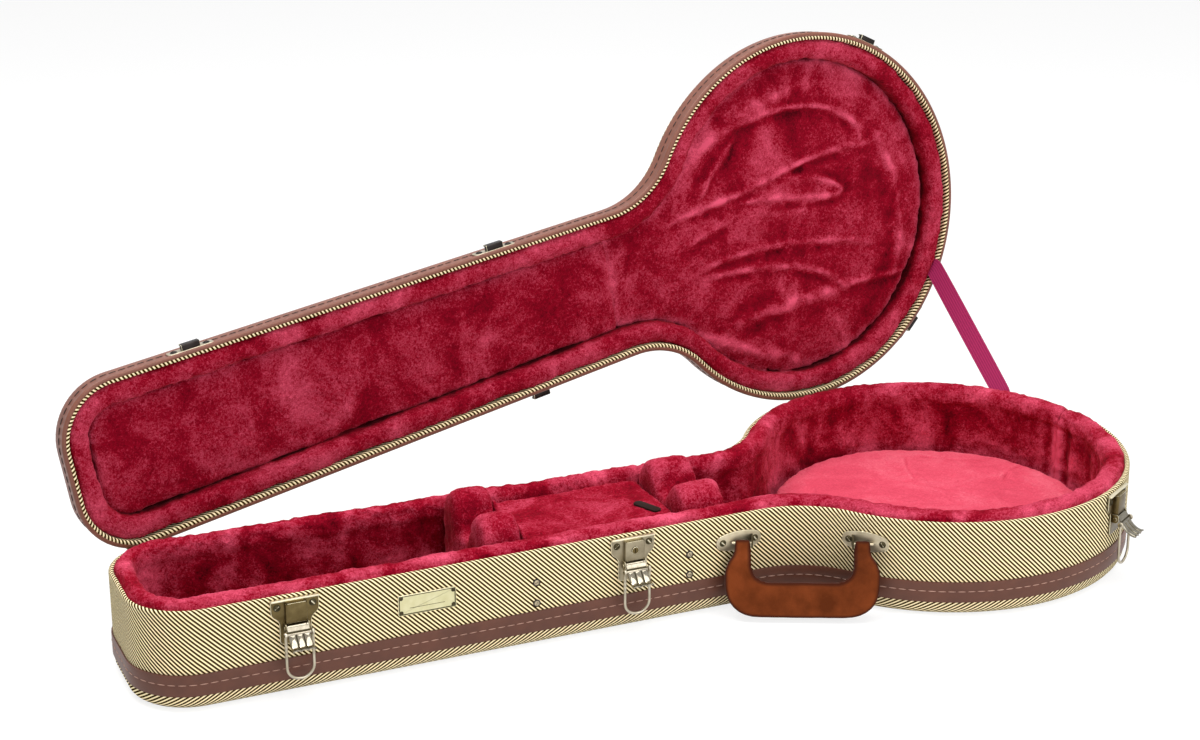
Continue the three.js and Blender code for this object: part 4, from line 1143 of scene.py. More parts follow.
@dataclass(frozen=True)
class Shell:
    """A tweed half with its leatherette band. Depths run from the rim towards the panel."""

    half: Half
    rim: float
    depth: float
    band_from: float
    band_to: float
    stitch_at: float
    thread: float
    ply: float = 5 * MM
    panel: float = 6 * MM
    seam: float = 14 * MM
    edge_round: float = 10 * MM
    flat_edge: float = 2 * MM
    spine_start: float = 60 * MM
    rim_round: float = 2.4 * MM
    band_lift: float = 1.5 * MM
    stitch: float = 7.6 * MM
    stitch_pitch: float = 9.4 * MM
    step: float = 6 * MM
    hem: Line = ((-1.4, 0.9), (-1.2, 0.1), (0.4, -0.2), (2, 0.3), (2.7, 1.4), (2.6, 3), (1.5, 4.8))

    @property
    def name(self) -> str:
        """The body's name, which starts the names of the pieces."""
        return self.half.value[0]

    @property
    def place(self) -> Matrix:
        """From the shut case to where this half stands."""
        return HINGE.opened if self.half is Half.LID else Matrix()

    def level(self, depth: float) -> float:
        """The height of a depth, on the shut case."""
        return self.rim + self.half.value[1] * depth

    def swept(self, name: str, section: Line, weave: Pair = (1, 1), capped: bool = False) -> Workpiece:
        """Carries a section of outs and depths right round the wall.

        Args:
            name: the piece's name.
            section: distances out from the wall, and depths.
            weave: how the cloth is stretched along the wall and up it on its map. Where up is
                below 0, the lines rise towards the pot.
            capped: whether both ends of the section run flat in to the case's middle line.

        Returns:
            The piece, shut.
        """
        places = PLAN.stations(0, PLAN.around, self.step)
        points, uvs = PLAN.sweep(places, [(out, self.level(depth)) for out, depth in section])
        if capped:
            first = self.spine_start - PLAN.length / 2
            spine = points * (1, 0, 1)
            spine[..., 0] = np.clip(points[..., 0], first, PLAN.pot_centre - PLAN.length / 2)
            points = np.concatenate([spine[:1], points, spine[-1:]])
            uvs = np.concatenate([uvs[:1], uvs, uvs[-1:]])
        uvs *= weave
        return Workpiece.from_sheet(name, points, uvs)

    def arc(self, out: float, depth: float, radius: float, start: float, end: float) -> list:
        """Points of a round in the section, with angles in degrees from straight out."""
        angles = [math.radians(start + (end - start) * i / 6) for i in range(7)]
        return [(out + radius * math.cos(a), depth + radius * math.sin(a)) for a in angles]

    def wall_cover(self) -> None:
        """The wall in its cloth, which wraps over the rim."""
        low = self.depth - self.seam
        near, far = self.rim_round, self.ply - self.rim_round
        section = [
            (-self.ply, low),
            (0.0, low),
            *self.arc(-near, near, near, 0, -90),
            *self.arc(-far, near, near, -90, -180),
            (-self.ply, low),
        ]
        weave = (1, 1) if self.half is Half.BASE else (1.1, -0.55)
        piece = self.swept(f"{self.name}_wall_cover", section, weave)
        piece.move(self.place)
        piece.smooth()
        piece.finish(TWEED, self.name, f"{self.name}_wall")

    def panel_cover(self, node: str) -> None:
        """The bottom or top panel in its cloth, with its rounded edge and its strip of wall."""
        low, inner = self.depth - self.seam, self.depth - self.panel
        bend = self.depth - self.edge_round
        section = [
            (-self.ply, inner),
            (-self.ply, low),
            (0.0, low),
            *self.arc(-self.edge_round, bend, self.edge_round, 0, 90),
            (-self.edge_round - self.flat_edge, self.depth),
        ]
        weave = (0.75, -1.3 * self.half.value[1])
        piece = self.swept(f"{self.name}_panel_cover", section, weave, capped=True)
        with piece.editing():
            self.map_flat(piece.obj.data)
        piece.move(self.place)
        piece.smooth()
        piece.finish(TWEED, self.name, node)

    @staticmethod
    def map_flat(mesh: bpy.types.Mesh) -> None:
        """Maps the cloth straight down on the flat faces, in edit mode."""
        shape = bmesh.from_edit_mesh(mesh)
        layer = shape.loops.layers.uv.verify()
        for face in shape.faces:
            if abs(face.normal.z) > 0.9999:
                for loop in face.loops:
                    loop[layer].uv = loop.vert.co.xy
        bmesh.update_edit_mesh(mesh)

    def band(self) -> None:
        """The leatherette band, with rounded edges and a groove where it is sewn."""
        low, high, at, out = self.band_from, self.band_to, self.stitch_at, self.band_lift
        back, ease, groove = 0.3 * MM, 0.5 * MM, 0.9 * MM
        if self.half is Half.LID:
            hem = [(x * MM, y * MM) for x, y in self.hem]
        else:
            hem = [(back, low), (out - ease, low), (out - ease / 4, low + ease / 4), (out, low + ease)]
        section = [
            *hem,
            (out, at - 2 * groove),
            (out - ease / 5, at - groove),
            (out - ease / 2, at),
            (out - ease / 5, at + groove),
            (out, at + 2 * groove),
            (out, high - ease),
            (out - ease / 4, high - ease / 4),
            (out - ease, high),
            (back, high),
            hem[0],
        ]
        piece = self.swept(f"{self.name}_band", section)
        piece.move(self.place)
        piece.smooth(50)
        # The lid's band takes the lighter copy of the leatherette: painted light.
        finish = BAND if self.half is Half.BASE else LIT_BAND
        piece.finish(finish, self.name, f"{self.name}_binding")

    def stitches(self) -> None:
        """The thread in the band's groove: one stitch modelled, and copied all the way round."""
        bpy.ops.object.select_all(action="DESELECT")
        bpy.ops.mesh.primitive_uv_sphere_add(segments=8, ring_count=6, radius=self.stitch / 2)
        piece = Workpiece(f"{self.name}_band_stitches")
        thin = self.thread / self.stitch
        with piece.editing():
            bpy.ops.mesh.select_all(action="SELECT")
            bpy.ops.transform.resize(value=(1.0, 2 * thin, 2 * thin))
        out = self.band_lift - 0.3 * MM + self.thread / 2
        count = round(PLAN.around / self.stitch_pitch)
        matrices = []
        for i in range(count):
            at = PLAN.frame_at(PLAN.around * i / count, self.level(self.stitch_at))
            matrices.append(at @ Matrix.Translation((0, -out, 0)))
        piece.repeated(matrices)
        piece.move(self.place)
        piece.smooth(180)
        # The lid's stitches take the darker copy of the thread: painted shade.
        piece.finish(PALE_THREAD if self.half is Half.BASE else THREAD_IN_SHADE, self.name)

    def build(self) -> None:
        """Makes and dresses the half."""
        self.wall_cover()
        self.panel_cover("base_bottom" if self.half is Half.BASE else "lid_top")
        self.band()
        self.stitches()


BASE_SHELL = Shell(
    Half.BASE,
    rim=96 * MM,
    depth=96 * MM,
    band_from=60.7 * MM,
    band_to=81.7 * MM,
    stitch_at=70.2 * MM,
    thread=0.42 * MM,
)
LID_SHELL = Shell(
    Half.LID,
    rim=96.3 * MM,
    depth=31.7 * MM,
    band_from=0.9 * MM,
    band_to=21.9 * MM,
    stitch_at=12.6 * MM,
    thread=0.62 * MM,
)


# Plush


@dataclass(frozen=True)
class Nap:
    """How the pile stands on a padded piece: waves in the stuffing, clumps, and fine tufts."""

    wave: float = 1.4 * MM
    wave_length: float = 45 * MM
    clump: float = 0.8 * MM
    clump_length: float = 11 * MM
    tuft: float = 0.9 * MM
    tuft_length: float = 6 * MM
    inset: float = 0.3 * MM
    opening: float = 2200.0
    patch_length: float = 16 * MM
    fold_height: float = 3.5 * MM

    def lift(self, points: np.ndarray) -> np.ndarray:
        """How far the pile stands up at each point.

        Args:
            points: places on the piece.

        Returns:
            The lift of each.
        """
        lifts = []
        for point in points:
            at = Vector(point)
            wave = noise.noise(at / self.wave_length) * self.wave
            clump = noise.noise(at / self.clump_length) * self.clump
            lifts.append(wave + clump + noise.noise(at / self.tuft_length) * self.tuft)
        return np.array(lifts) - self.inset

    def raise_pile(self, piece: Workpiece, folds: np.ndarray | float = 0.0) -> None:
        """Raises the pile on a piece, and notes where it opens on ridges and outward bends, painted pale
        partly as highlight, and where it sinks in creases and hollows, painted dark as shade.

        Args:
            piece: the padded piece.
            folds: the lift of its folds at each point.
        """
        piece.push(self.lift(piece.points()) + folds)
        patchy = np.array([noise.noise(Vector(point) / self.patch_length) for point in piece.points()])
        # Fold ridges are painted pale and the hollows beside them dark: painted highlight and painted shade.
        fold_light_and_shade = folds / self.fold_height * np.clip(1 + 1.3 * patchy, 0.25, 1.7)
        opened = piece.bulge() * self.opening + fold_light_and_shade
        pile = piece.obj.data.attributes.new("pile", "FLOAT", "POINT")
        pile.data.foreach_set("value", np.clip(opened, -1, 1.4))


@dataclass(frozen=True)
class Fold:
    """A soft ridge in a loose lining, along a line on the shut lid from the pot's centre."""

    line: tuple[Pair, ...]
    height: float = 1.8 * MM
    width: float = 3.4 * MM
    ripple_length: float = 13 * MM

    @cached_property
    def curve(self) -> np.ndarray:
        """The line with its corners cut, in metres from the case's middle."""
        return eased(np.array(self.line) * MM + (PLAN.pot_centre - PLAN.length / 2, 0))

    def lift(self, plan: np.ndarray) -> np.ndarray:
        """The ridge's lift, with a hollow along the side that hangs down on the open lid.

        Args:
            plan: x and y of points on the shut lid.

        Returns:
            The lift at each.
        """
        best = np.full(len(plan), np.inf)
        along = np.zeros(len(plan))
        beside = np.zeros(len(plan))
        steps = len(self.curve) - 1
        for i, (start, end) in enumerate(zip(self.curve[:-1], self.curve[1:])):
            run = end - start
            share = np.clip(((plan - start) @ run) / max(run @ run, 1e-12), 0, 1)
            away = np.linalg.norm(plan - start - share[:, None] * run, axis=1)
            side = np.sign(run[0] * (plan - start)[:, 1] - run[1] * (plan - start)[:, 0])
            along = np.where(away < best, (i + share) / steps, along)
            beside = np.where(away < best, side * away / self.width, beside)
            best = np.minimum(best, away)
        fade = np.clip(4 * np.minimum(along, 1 - along) + 0.15, 0, 1)
        ridge = np.exp(-(beside**2)) - 0.5 * np.exp(-(((beside - 2.1) / 1.5) ** 2))
        ripple = np.array([noise.noise(Vector((x, y, 0)) / self.ripple_length) for x, y in plan])
        return self.height * fade * ridge * np.clip(1 + 1.2 * ripple, 0.2, 1.8)


LID_FOLDS = (
    Fold(((-169, -40), (-116, -46), (-78, -45), (-28, -53), (16, -59), (63, -60), (107, -55)), 2.4 * MM),
    Fold(((-108, -40), (-55, -36), (-8, -24), (49, -9), (62, -13), (54, -23), (31, -34), (-1, -45))),
    Fold(((-58, -120), (-15, -123), (21, -119), (56, -108), (84, -88), (96, -69), (89, -60)), 2.4 * MM),
    Fold(((-120, -57), (-105, -75), (-87, -90), (-66, -109))),
    Fold(((-148, -62), (-128, -92), (-94, -117), (-57, -128), (-14, -138), (40, -136)), 1.8 * MM, 9 * MM),
    Fold(((-137, 20), (-89, 17), (-41, 21), (1, 29), (47, 40), (92, 57))),
    Fold(((-124, 32), (-86, 34), (-33, 46), (8, 61), (34, 79), (52, 101))),
    Fold(((-146, -11), (-124, -17), (-91, -22)), 1.5 * MM),
    Fold(((-103, 94), (-77, 89), (-35, 92), (6, 92), (47, 97)), 1.8 * MM, 7 * MM),
    Fold(((113, -71), (130, -17), (133, 21), (130, 61), (112, 104)), 1.6 * MM, 6 * MM),
    Fold(((48, 92), (86, 96), (127, 101)), 1.7 * MM),
    Fold(((-147, 87), (-101, 116), (-63, 140), (-23, 158)), 1.8 * MM, 7 * MM),
)
PAD_CREASES = (
    Fold(((52, 136), (78, 104), (118, 82)), -1.3 * MM, 1.4 * MM),
    Fold(((18, 60), (27, 95), (44, 128)), -1.1 * MM, 1.4 * MM),
    Fold(((96, 16), (118, 44), (148, 58)), -1.3 * MM, 1.4 * MM),
)


@dataclass(frozen=True)
class PlushPad:
    """A piece covered in pile fabric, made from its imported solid.

    The solid is remeshed evenly and softened, then its pile and its folds are raised.
    """

    node: str
    body: str
    finish: Finish = PLUSH
    nap: Nap = Nap()
    voxel: float = 4 * MM
    soften: int = 5
    folds: tuple[Fold, ...] = ()
    rise: Pair = (0.0, 0.0)
    crown: Pair = (70 * MM, 108 * MM)
    pressed: float = 1.0
    ceiling: float = 123.5 * MM
    blend: float = 20 * MM

    def stretch(self, piece: Workpiece) -> None:
        """Raises the crown of a pad, by one height at the front and another at the rear.

        Args:
            piece: the pad, which is raised from the crown's low height to its high one.
        """
        at = piece.points()
        low, high = self.crown
        share = np.clip((at[:, 2] - low) / (high - low), 0, 1) ** 2
        rear = np.clip(at[:, 1] / self.blend + 0.5, 0, 1)
        at[:, 2] += share * (self.rise[0] * (1 - rear) + self.rise[1] * rear)
        piece.reshape(at)

    def folded(self, piece: Workpiece) -> np.ndarray:
        """The lift of the folds at each point of a pad."""
        shut = HINGE.opened.inverted() if self.body == "lid" else Matrix()
        plan = turned(piece.points(), shut)
        return sum(fold.lift(plan[:, :2]) for fold in self.folds)

    def flatten_back(self, piece: Workpiece) -> None:
        """Keeps the back of a lid's pad inside the top panel."""
        at = turned(piece.points(), HINGE.opened.inverted())
        at[:, 2] = np.minimum(at[:, 2], self.ceiling)
        piece.reshape(turned(at, HINGE.opened))

    def build(self, nodes: dict[str, bpy.types.Object]) -> bpy.types.Object:
        """Makes and dresses the piece.

        Args:
            nodes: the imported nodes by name.

        Returns:
            The piece's object.
        """
        piece = Workpiece.from_node(f"{self.node}_plush", nodes[self.node])
        piece.modify("REMESH", mode="VOXEL", voxel_size=self.voxel)
        piece.modify("SMOOTH", factor=0.5, iterations=self.soften)
        if any(self.rise):
            self.stretch(piece)
        piece.modify("SUBSURF", levels=1, render_levels=1)
        self.nap.raise_pile(piece, self.folded(piece) if self.folds else 0.0)
        if self.body == "lid":
            self.flatten_back(piece)
        piece.smooth(180)
        obj = piece.finish(self.finish, self.body, self.node)
        if self.pressed < 1:
            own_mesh(obj)
        return obj


@dataclass(frozen=True)
class WallLining:
    """The padded plush inside the base's wall, rolled over at the rim, from the pot's seam right
    round to the seam again."""

    foot: float = 11.6 * MM
    rim: float = BASE_SHELL.rim
    stand_up: float = 6.5 * MM
    outer: float = 4.4 * MM
    back: float = 7.4 * MM
    neck_inside: float = 21.6 * MM
    pot_inside: float = 26.1 * MM
    heel: float = 582 * MM
    swelling: float = 30 * MM
    seam: float = 9.7
    seam_gap: float = 0.3 * MM
    seam_round: float = 12 * MM
    seam_shrink: float = 5 * MM
    roll_depth: float = 10 * MM
    overhang: float = 1.2 * MM
    lean_in: float = 0.6 * MM
    pucker: float = 1.5 * MM
    seam_pucker: float = 4 * MM
    pucker_spread: float = 55 * MM
    pucker_fade: float = 16 * MM
    pucker_width: float = 17 * MM
    pucker_height: float = 95 * MM
    step: float = 2.5 * MM
    pressed: float = 0.89

    def inside(self, place: float) -> float:
        """How far the lining reaches in from the wall: thin along the neck, thick round the pot."""
        x = PLAN.wall(place)[0] + PLAN.length / 2
        share = min(max((x - self.heel) / self.swelling, 0), 1)
        return self.neck_inside + (self.pot_inside - self.neck_inside) * share * share * (3 - 2 * share)

    def section(self, inside: float, shrink: float) -> list[Pair]:
        """The lining's section: its face, its roll and its hidden back.

        Args:
            inside: how far it reaches in.
            shrink: how far it is drawn in, at an end.

        Returns:
            Distances out from the wall, and heights.
        """
        face = -inside + shrink
        hip = self.rim - self.roll_depth
        climb = [(face, self.foot + (hip - self.foot) * i / 28) for i in range(28)]
        middle, half = (face - self.outer) / 2, (-self.outer - face) / 2 + self.overhang
        height = self.rim + self.stand_up - shrink - hip
        roll = []
        for i in range(23):
            angle = math.radians(180 - 8 * i)
            reach = abs(math.cos(angle)) ** 0.75 * math.copysign(1, math.cos(angle))
            out = middle + half * reach - self.lean_in
            roll.append((out, hip + height * abs(math.sin(angle)) ** 0.8))
        outer = [(-self.back, hip), (-self.back, self.foot), (face, self.foot)]
        return climb + roll + outer

    def puckers(self, points: np.ndarray) -> np.ndarray:
        """The lift of the upright creases, which are deepest beside the seam.

        Args:
            points: places on the lining.

        Returns:
            The lift at each.
        """
        seam = Vector(PLAN.wall(PLAN.around_pot(self.seam))[:2])
        lifts = []
        for x, y, z in points:
            near = math.exp(-(((Vector((x, y)) - seam).length / self.pucker_spread) ** 2))
            below = min(max((self.rim - z) / self.pucker_fade, 0), 1)
            at = Vector((x / self.pucker_width, y / self.pucker_width, z / self.pucker_height))
            lifts.append((self.pucker + self.seam_pucker * near) * below * noise.noise(at))
        return np.array(lifts)

    def build(self) -> None:
        """Makes and dresses the lining."""
        start = PLAN.around_pot(self.seam) + self.seam_gap
        places = PLAN.stations(start - PLAN.around, start - 2 * self.seam_gap, self.step)
        rings = []
        for place in places:
            left = min(place - places[0], places[-1] - place)
            share = max(0.0, 1 - left / self.seam_round)
            shrink = self.seam_shrink * (1 - math.sqrt(1 - share * share))
            section = self.section(self.inside(place), shrink)
            rings.append(PLAN.sweep([place], section))
        points = np.concatenate([ring[0] for ring in rings], axis=1)
        uvs = np.concatenate([ring[1] for ring in rings], axis=1)
        piece = Workpiece.from_sheet("wall_lining_plush", points, uvs)
        with piece.editing():
            piece.close_ends()
            piece.face_outwards()
        Nap(tuft=1.4 * MM).raise_pile(piece, self.puckers(piece.points()))
        piece.smooth(180)
        obj = piece.finish(
            WALL_PLUSH,
            "base",
            "head_lining",
            "neck_lining_front",
            "neck_lining_rear",
            "pot_lining_front",
            "pot_lining_rear",
        )
        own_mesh(obj)


@dataclass(frozen=True)
class LidLining:
    """The padded roll inside the lid's wall, with a skirt under the pads."""

    rim: float = LID_SHELL.rim
    sunk: float = 0.9 * MM
    outer: float = 4.6 * MM
    back: float = 7.4 * MM
    inside: float = 26.4 * MM
    ceiling: float = 25 * MM
    drop: float = 11 * MM
    skirt: float = 46 * MM
    skirt_low: float = 0.2 * MM
    skirt_high: float = 0.5 * MM
    step: float = 2.5 * MM

    def build(self) -> None:
        """Makes and dresses the lining, shut, and opens it with the lid."""
        top = self.rim + self.ceiling
        middle, half = -(self.outer + self.inside) / 2, (self.inside - self.outer) / 2
        low, drop = self.rim + self.sunk, self.drop
        roll = []
        for i in range(19):
            angle = math.radians(10 * i)
            reach = abs(math.cos(angle)) ** 0.8 * math.copysign(1, math.cos(angle))
            roll.append((middle + half * reach, low + drop * (1 - abs(math.sin(angle)) ** 0.75)))
        climb = [(-self.inside, low + drop + (top - low - drop) * i / 5) for i in range(1, 6)]
        section = [
            (-self.back, top),
            (-self.back, low + drop),
            *roll,
            *climb,
            (-self.skirt, top + self.skirt_low),
            (-self.skirt, top + self.skirt_high),
            (-self.back, top + self.skirt_high),
            (-self.back, top),
        ]
        points, uvs = PLAN.sweep(PLAN.stations(0, PLAN.around, self.step), section)
        piece = Workpiece.from_sheet("lid_wall_lining_plush", points, uvs)
        piece.move(HINGE.opened)
        Nap(wave=1.8 * MM, tuft=1.2 * MM).raise_pile(piece)
        piece.smooth(180)
        obj = piece.finish(PLUSH, "lid", "lid_wall_lining")


# Fittings


@dataclass(frozen=True)
class Fitting:
    """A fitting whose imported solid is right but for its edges, which get their small round."""

    node: str
    body: str
    finish: Finish
    edge: float = 0.3 * MM
    sharp: float = 30.0

    def build(self, nodes: dict[str, bpy.types.Object]) -> bpy.types.Object:
        """Makes and dresses the fitting.

        Args:
            nodes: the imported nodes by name.

        Returns:
            The fitting's object.
        """
        piece = Workpiece.from_node(f"{self.node}_finished", nodes[self.node])
        with piece.editing():
            bpy.ops.mesh.select_all(action="SELECT")
            bpy.ops.mesh.dissolve_limited(angle_limit=math.radians(1))
        piece.bevel(self.edge, self.sharp)
        piece.smooth(40)
        return piece.finish(self.finish, self.body, self.node)


@dataclass(frozen=True)
class Screw:
    """A domed head with a slot, which stands on a face that looks away from the wall."""

    radius: float = 2.9
    height: float = 1.5
    slot: float = 1.1
    ring_share: float = 0.2

    def on(self, x: float, z: float, face: float, turn: float) -> Workpiece:
        """Makes the head.

        Args:
            x: its place along the wall, in millimetres.
            z: its height, in millimetres.
            face: how far out from the wall the face is, in millimetres.
            turn: how far its slot leans, in degrees.

        Returns:
            The head, on its face.
        """
        bpy.ops.object.select_all(action="DESELECT")
        bpy.ops.mesh.primitive_uv_sphere_add(segments=20, ring_count=10, radius=self.radius * MM)
        piece = Workpiece("screw")
        with piece.editing():
            piece.pick("VERT", lambda at, _: at.z < -SAME_PLACE)
            bpy.ops.mesh.delete(type="VERT")
            bpy.ops.mesh.select_all(action="SELECT")
            bpy.ops.transform.resize(value=(1, 1, self.height / self.radius), center_override=(0, 0, 0))
            piece.close_ends()
        reach, half, deep = self.radius * 0.8, self.slot / 2, self.height * 0.3
        piece.cut(Workpiece.from_box("slot", (-reach, -half, deep), (reach, half, 2 * self.height)))
        out = Matrix.Rotation(math.radians(90), 4, "X") @ Matrix.Rotation(math.radians(turn), 4, "Z")
        piece.mark(2, lambda at: at.z > 0)
        # The slot takes mark 1: a painted highlight on the latches, catches and brackets; on the wall screws
        # it is dark steel.
        piece.mark(1, lambda at: abs(at.y) < self.slot * 0.45 * MM and abs(at.x) < reach * MM)
        bpy.ops.object.select_all(action="DESELECT")
        ring = self.radius * MM
        thick = ring * self.ring_share
        bpy.ops.mesh.primitive_torus_add(
            major_segments=24, minor_segments=8, major_radius=ring, minor_radius=thick
        )
        washer = Workpiece("ring")
        washer.mark(2)
        piece.join(washer)
        piece.move(Matrix.Translation((x * MM, -face * MM, z * MM)) @ out)
        return piece


@dataclass(frozen=True)
class Latches:
    """The five draw latches and their catches on the lid. Each is modelled once, with its back to
    the wall, X along it and -Y out, and copied to its places. Sizes are in millimetres."""

    level: float = 70.0
    rim: float = 96.0
    head_share: float = 0.2312
    before_throat_front: float = 137.3
    before_throat_rear: float = 115.8
    pot_angles: Pair = (-56.0, 52.6)
    plate_shape: Corners = (
        (-14.8, -20, 3), (14.8, -20, 3), (14.8, 2.5, 4), (22.3, 8, 4),
        (22.3, 23.5, 0.6), (-22.3, 23.5, 0.6), (-22.3, 8, 4), (-14.8, 2.5, 4),
    )
    face: float = 1.7
    back: float = 0.3
    plate_round: float = 0.45
    lip: float = 4.3
    lip_sheet: float = 1.4
    lip_rise: float = 0.2
    lip_round: float = 0.5
    housing_low: Triple = (-9.9, -7.0, 1.6)
    housing_high: Triple = (9.9, -0.8, 20.6)
    sheet: float = 1.2
    fold: float = 1.2
    fine_round: float = 0.3
    spring_low: Triple = (-8.6, -5.7, 3)
    spring_high: Triple = (8.6, -1.5, 20.2)
    screw_at: Pair = (16.6, 16)
    lock_level: float = 11.5
    lock_radius: float = 3.5
    lock_ends: Pair = (-2, -7.6)
    key_low: Triple = (-0.5, -8, -2.3)
    key_high: Triple = (0.5, -6.2, 2.3)
    keyhole: float = 3.9
    keyhole_reach: float = 2.0
    axis: Pair = (5.2, -3.2)
    ear_shape: Corners = ((0.8, 1.5, 0.5), (8.6, 1.5, 3), (8.6, -7.6, 4), (0.8, -7.6, 0.5))
    ear_lefts: Pair = (-11.1, 10.1)
    ear_sheet: float = 1.0
    ear_round: float = 0.25
    pin: float = 1.9
    pin_half: float = 11.9
    stub: Pair = (11.5, -7.5)
    stub_radius: float = 1.5
    stub_half: float = 14.2
    stub_round: float = 0.4
    barrel: float = 2.9
    barrel_half: float = 9.6
    lever_half: float = 9.8
    lever_path: Line = (
        (3.2, -1.2), (5.2, -0.4), (7.8, -0.8), (9.4, -3.6), (11.5, -6.8),
        (14, -10.5), (17.3, -13.9), (21.2, -16.4), (24.8, -17.4), (27, -17),
    )
    lever_sheet: float = 1.1
    finger: float = 1.7
    fingers_from: float = 0.44
    crease: float = 0.8
    crease_at: float = 0.43
    crease_reach: float = 0.03
    tip: float = 0.4
    tip_from: float = 0.7
    flare: float = 0.06
    wire: float = 1.35
    drop: float = 43.5
    turn: float = 12.0
    eye_in: float = 11.5
    eye_out: float = 13.7
    eye_radius: float = 2.9
    eye_round: float = 0.5
    band_face: float = 1.8
    catch_shape: Corners = ((-23, 2.2, 3), (23, 2.2, 3), (23, 12.4, 3), (-23, 12.4, 3))
    catch_screw: Pair = (16.6, 7.3)
    hook_low: float = 3.4
    hook_out: float = 8.6
    hook_in: float = 7.1
    hook_sheet: float = 1.8
    hook_half: float = 9.4
    hook_gap: float = 0.3

    @cached_property
    def places(self) -> dict[str, float]:
        """Where each latch stands on the wall."""
        throat = PLAN.throat_start[0]
        return {
            "head": PLAN.front_neck(self.head_share * throat),
            "neck_front": PLAN.front_neck(throat - self.before_throat_front * MM),
            "pot_front": PLAN.around_pot(self.pot_angles[0]),
            "pot_rear": PLAN.around_pot(self.pot_angles[1]),
            "neck_rear": PLAN.rear_neck(throat - self.before_throat_rear * MM),
        }

    def housing(self, keyed: bool) -> Workpiece:
        """The open-ended box of bent sheet over the lever's spring."""
        front, right = self.housing_low[1], self.housing_high[0]
        piece = Workpiece.from_box("housing", self.housing_low, self.housing_high)
        with piece.editing():
            piece.pick("FACE", lambda _, normal: abs(normal.z) > 0.9 or normal.y > 0.9)
            bpy.ops.mesh.delete(type="FACE")
            piece.pick("EDGE", lambda at, _: abs(at.x) > right * 0.99 * MM and at.y < front * 0.99 * MM)
            bpy.ops.mesh.bevel(offset=self.fold * MM, segments=3, affect="EDGES")
        piece.modify("SOLIDIFY", thickness=self.sheet * MM, offset=-1)
        piece.bevel(self.fine_round * MM, 50)
        if keyed:
            ends = [(0, front + side * self.keyhole_reach, self.lock_level) for side in (-1, 1)]
            piece.cut(Workpiece.from_rod("keyhole", self.keyhole, ends))
        return piece

    def ears(self) -> list[Workpiece]:
        """The two lugs that hold the pin, and the pin's domed ends."""
        out, up = self.axis
        profile = rounded(self.ear_shape)
        ends = [(side * self.pin_half, -out, up) for side in (-1, 1)]
        pieces = [Workpiece.from_rod("pin", self.pin, ends)]
        for low in self.ear_lefts:
            pieces.append(Workpiece.from_profile("ear", profile, low * MM, (low + self.ear_sheet) * MM))
        for piece in pieces:
            piece.bevel(self.ear_round * MM)
        return pieces

    def plate(self, keyed: bool) -> Workpiece:
        """The back plate with its folded lip, housing, ears and screws."""
        shape = rounded(self.plate_shape)
        piece = Workpiece.from_outline("plate", shape, self.back * MM, self.face * MM)
        piece.bevel(self.plate_round * MM)
        left, top = self.plate_shape[5][:2]
        low, high = top - self.lip_sheet, top + self.lip_rise
        lip = Workpiece.from_box("lip", (left, -self.lip, low), (-left, -self.back, high))
        lip.bevel(self.lip_round * MM)
        # The lip takes mark 1, the rubbed finish: a painted highlight along its top.
        lip.mark(1)
        spring = Workpiece.from_box("spring", self.spring_low, self.spring_high)
        spring.mark(1)
        x, z = self.screw_at
        screws = [Screw().on(side * x, z, self.face, turn) for side, turn in ((-1, 35), (1, -50))]
        piece.join(lip, spring, self.housing(keyed), *self.ears(), *screws)
        piece.smooth(40)
        return piece

    def lever(self) -> Workpiece:
        """The chromed thumb lever: a rounded top, a crease, three finger flutes and a flared tip."""
        path = eased(np.array(self.lever_path), 2)
        step = np.gradient(path, axis=0)
        step /= np.linalg.norm(step, axis=1, keepdims=True)
        up = np.stack([-step[:, 1], step[:, 0]], axis=1)
        share = np.linspace(0, 1, len(path))
        across = np.linspace(-self.lever_half, self.lever_half, 46)
        pitch = 2 * self.lever_half / 3
        off = (across + self.lever_half) % pitch / pitch * 2 - 1
        lobe = np.sqrt(np.clip(1 - off**4, 0, 1))
        fade = np.clip((share - self.fingers_from) / 0.08, 0, 1)[:, None]
        crease = np.exp(-(((share - self.crease_at) / self.crease_reach) ** 2))[:, None]
        lift = self.finger * fade * (lobe - 0.6) - self.crease * crease
        tip = self.tip * np.clip((share - self.tip_from) / 0.3, 0, 1)[:, None] * lobe
        points = np.empty((len(path), len(across), 3))
        points[..., 0] = across * (1 + self.flare * share[:, None])
        points[..., 1] = -(path[:, :1] + up[:, :1] * lift + step[:, :1] * tip)
        points[..., 2] = path[:, 1:] + up[:, 1:] * lift + step[:, 1:] * tip
        piece = Workpiece.from_sheet("lever", points * MM, np.zeros((*points.shape[:2], 2)))

        def in_painted_shade(at: Vector) -> bool:
            """Whether a face's middle is in the crease or in a valley between two flutes, which take painted
            shade.
            """
            x = at.x / MM + self.lever_half * 1.04
            away = np.linalg.norm(path - (-at.y / MM, at.z / MM), axis=1)
            down = share[away.argmin()]
            between = abs(x % (pitch * 1.04) / (pitch * 1.04) * 2 - 1) > 0.72
            inner = pitch / 2 < x < 5.5 * pitch / 2
            return 0.4 < down < 0.48 or (between and inner and 0.45 < down < 0.9)

        # The crease and the valleys between the flutes take mark 1, a darker steel: painted shade.
        piece.mark(1, in_painted_shade)
        piece.modify("SOLIDIFY", thickness=self.lever_sheet * MM, offset=0)
        (out, z), (pin_out, pin_z) = self.stub, self.axis
        ends = [(side * self.barrel_half, -pin_out, pin_z) for side in (-1, 1)]
        pivot = Workpiece.from_rod("barrel", self.barrel, ends)
        ends = [(side * self.stub_half, -out, z) for side in (-1, 1)]
        rivet = Workpiece.from_rod("stubs", self.stub_radius, ends)
        rivet.bevel(self.stub_round * MM)
        piece.join(pivot, rivet)
        piece.smooth(50)
        return piece

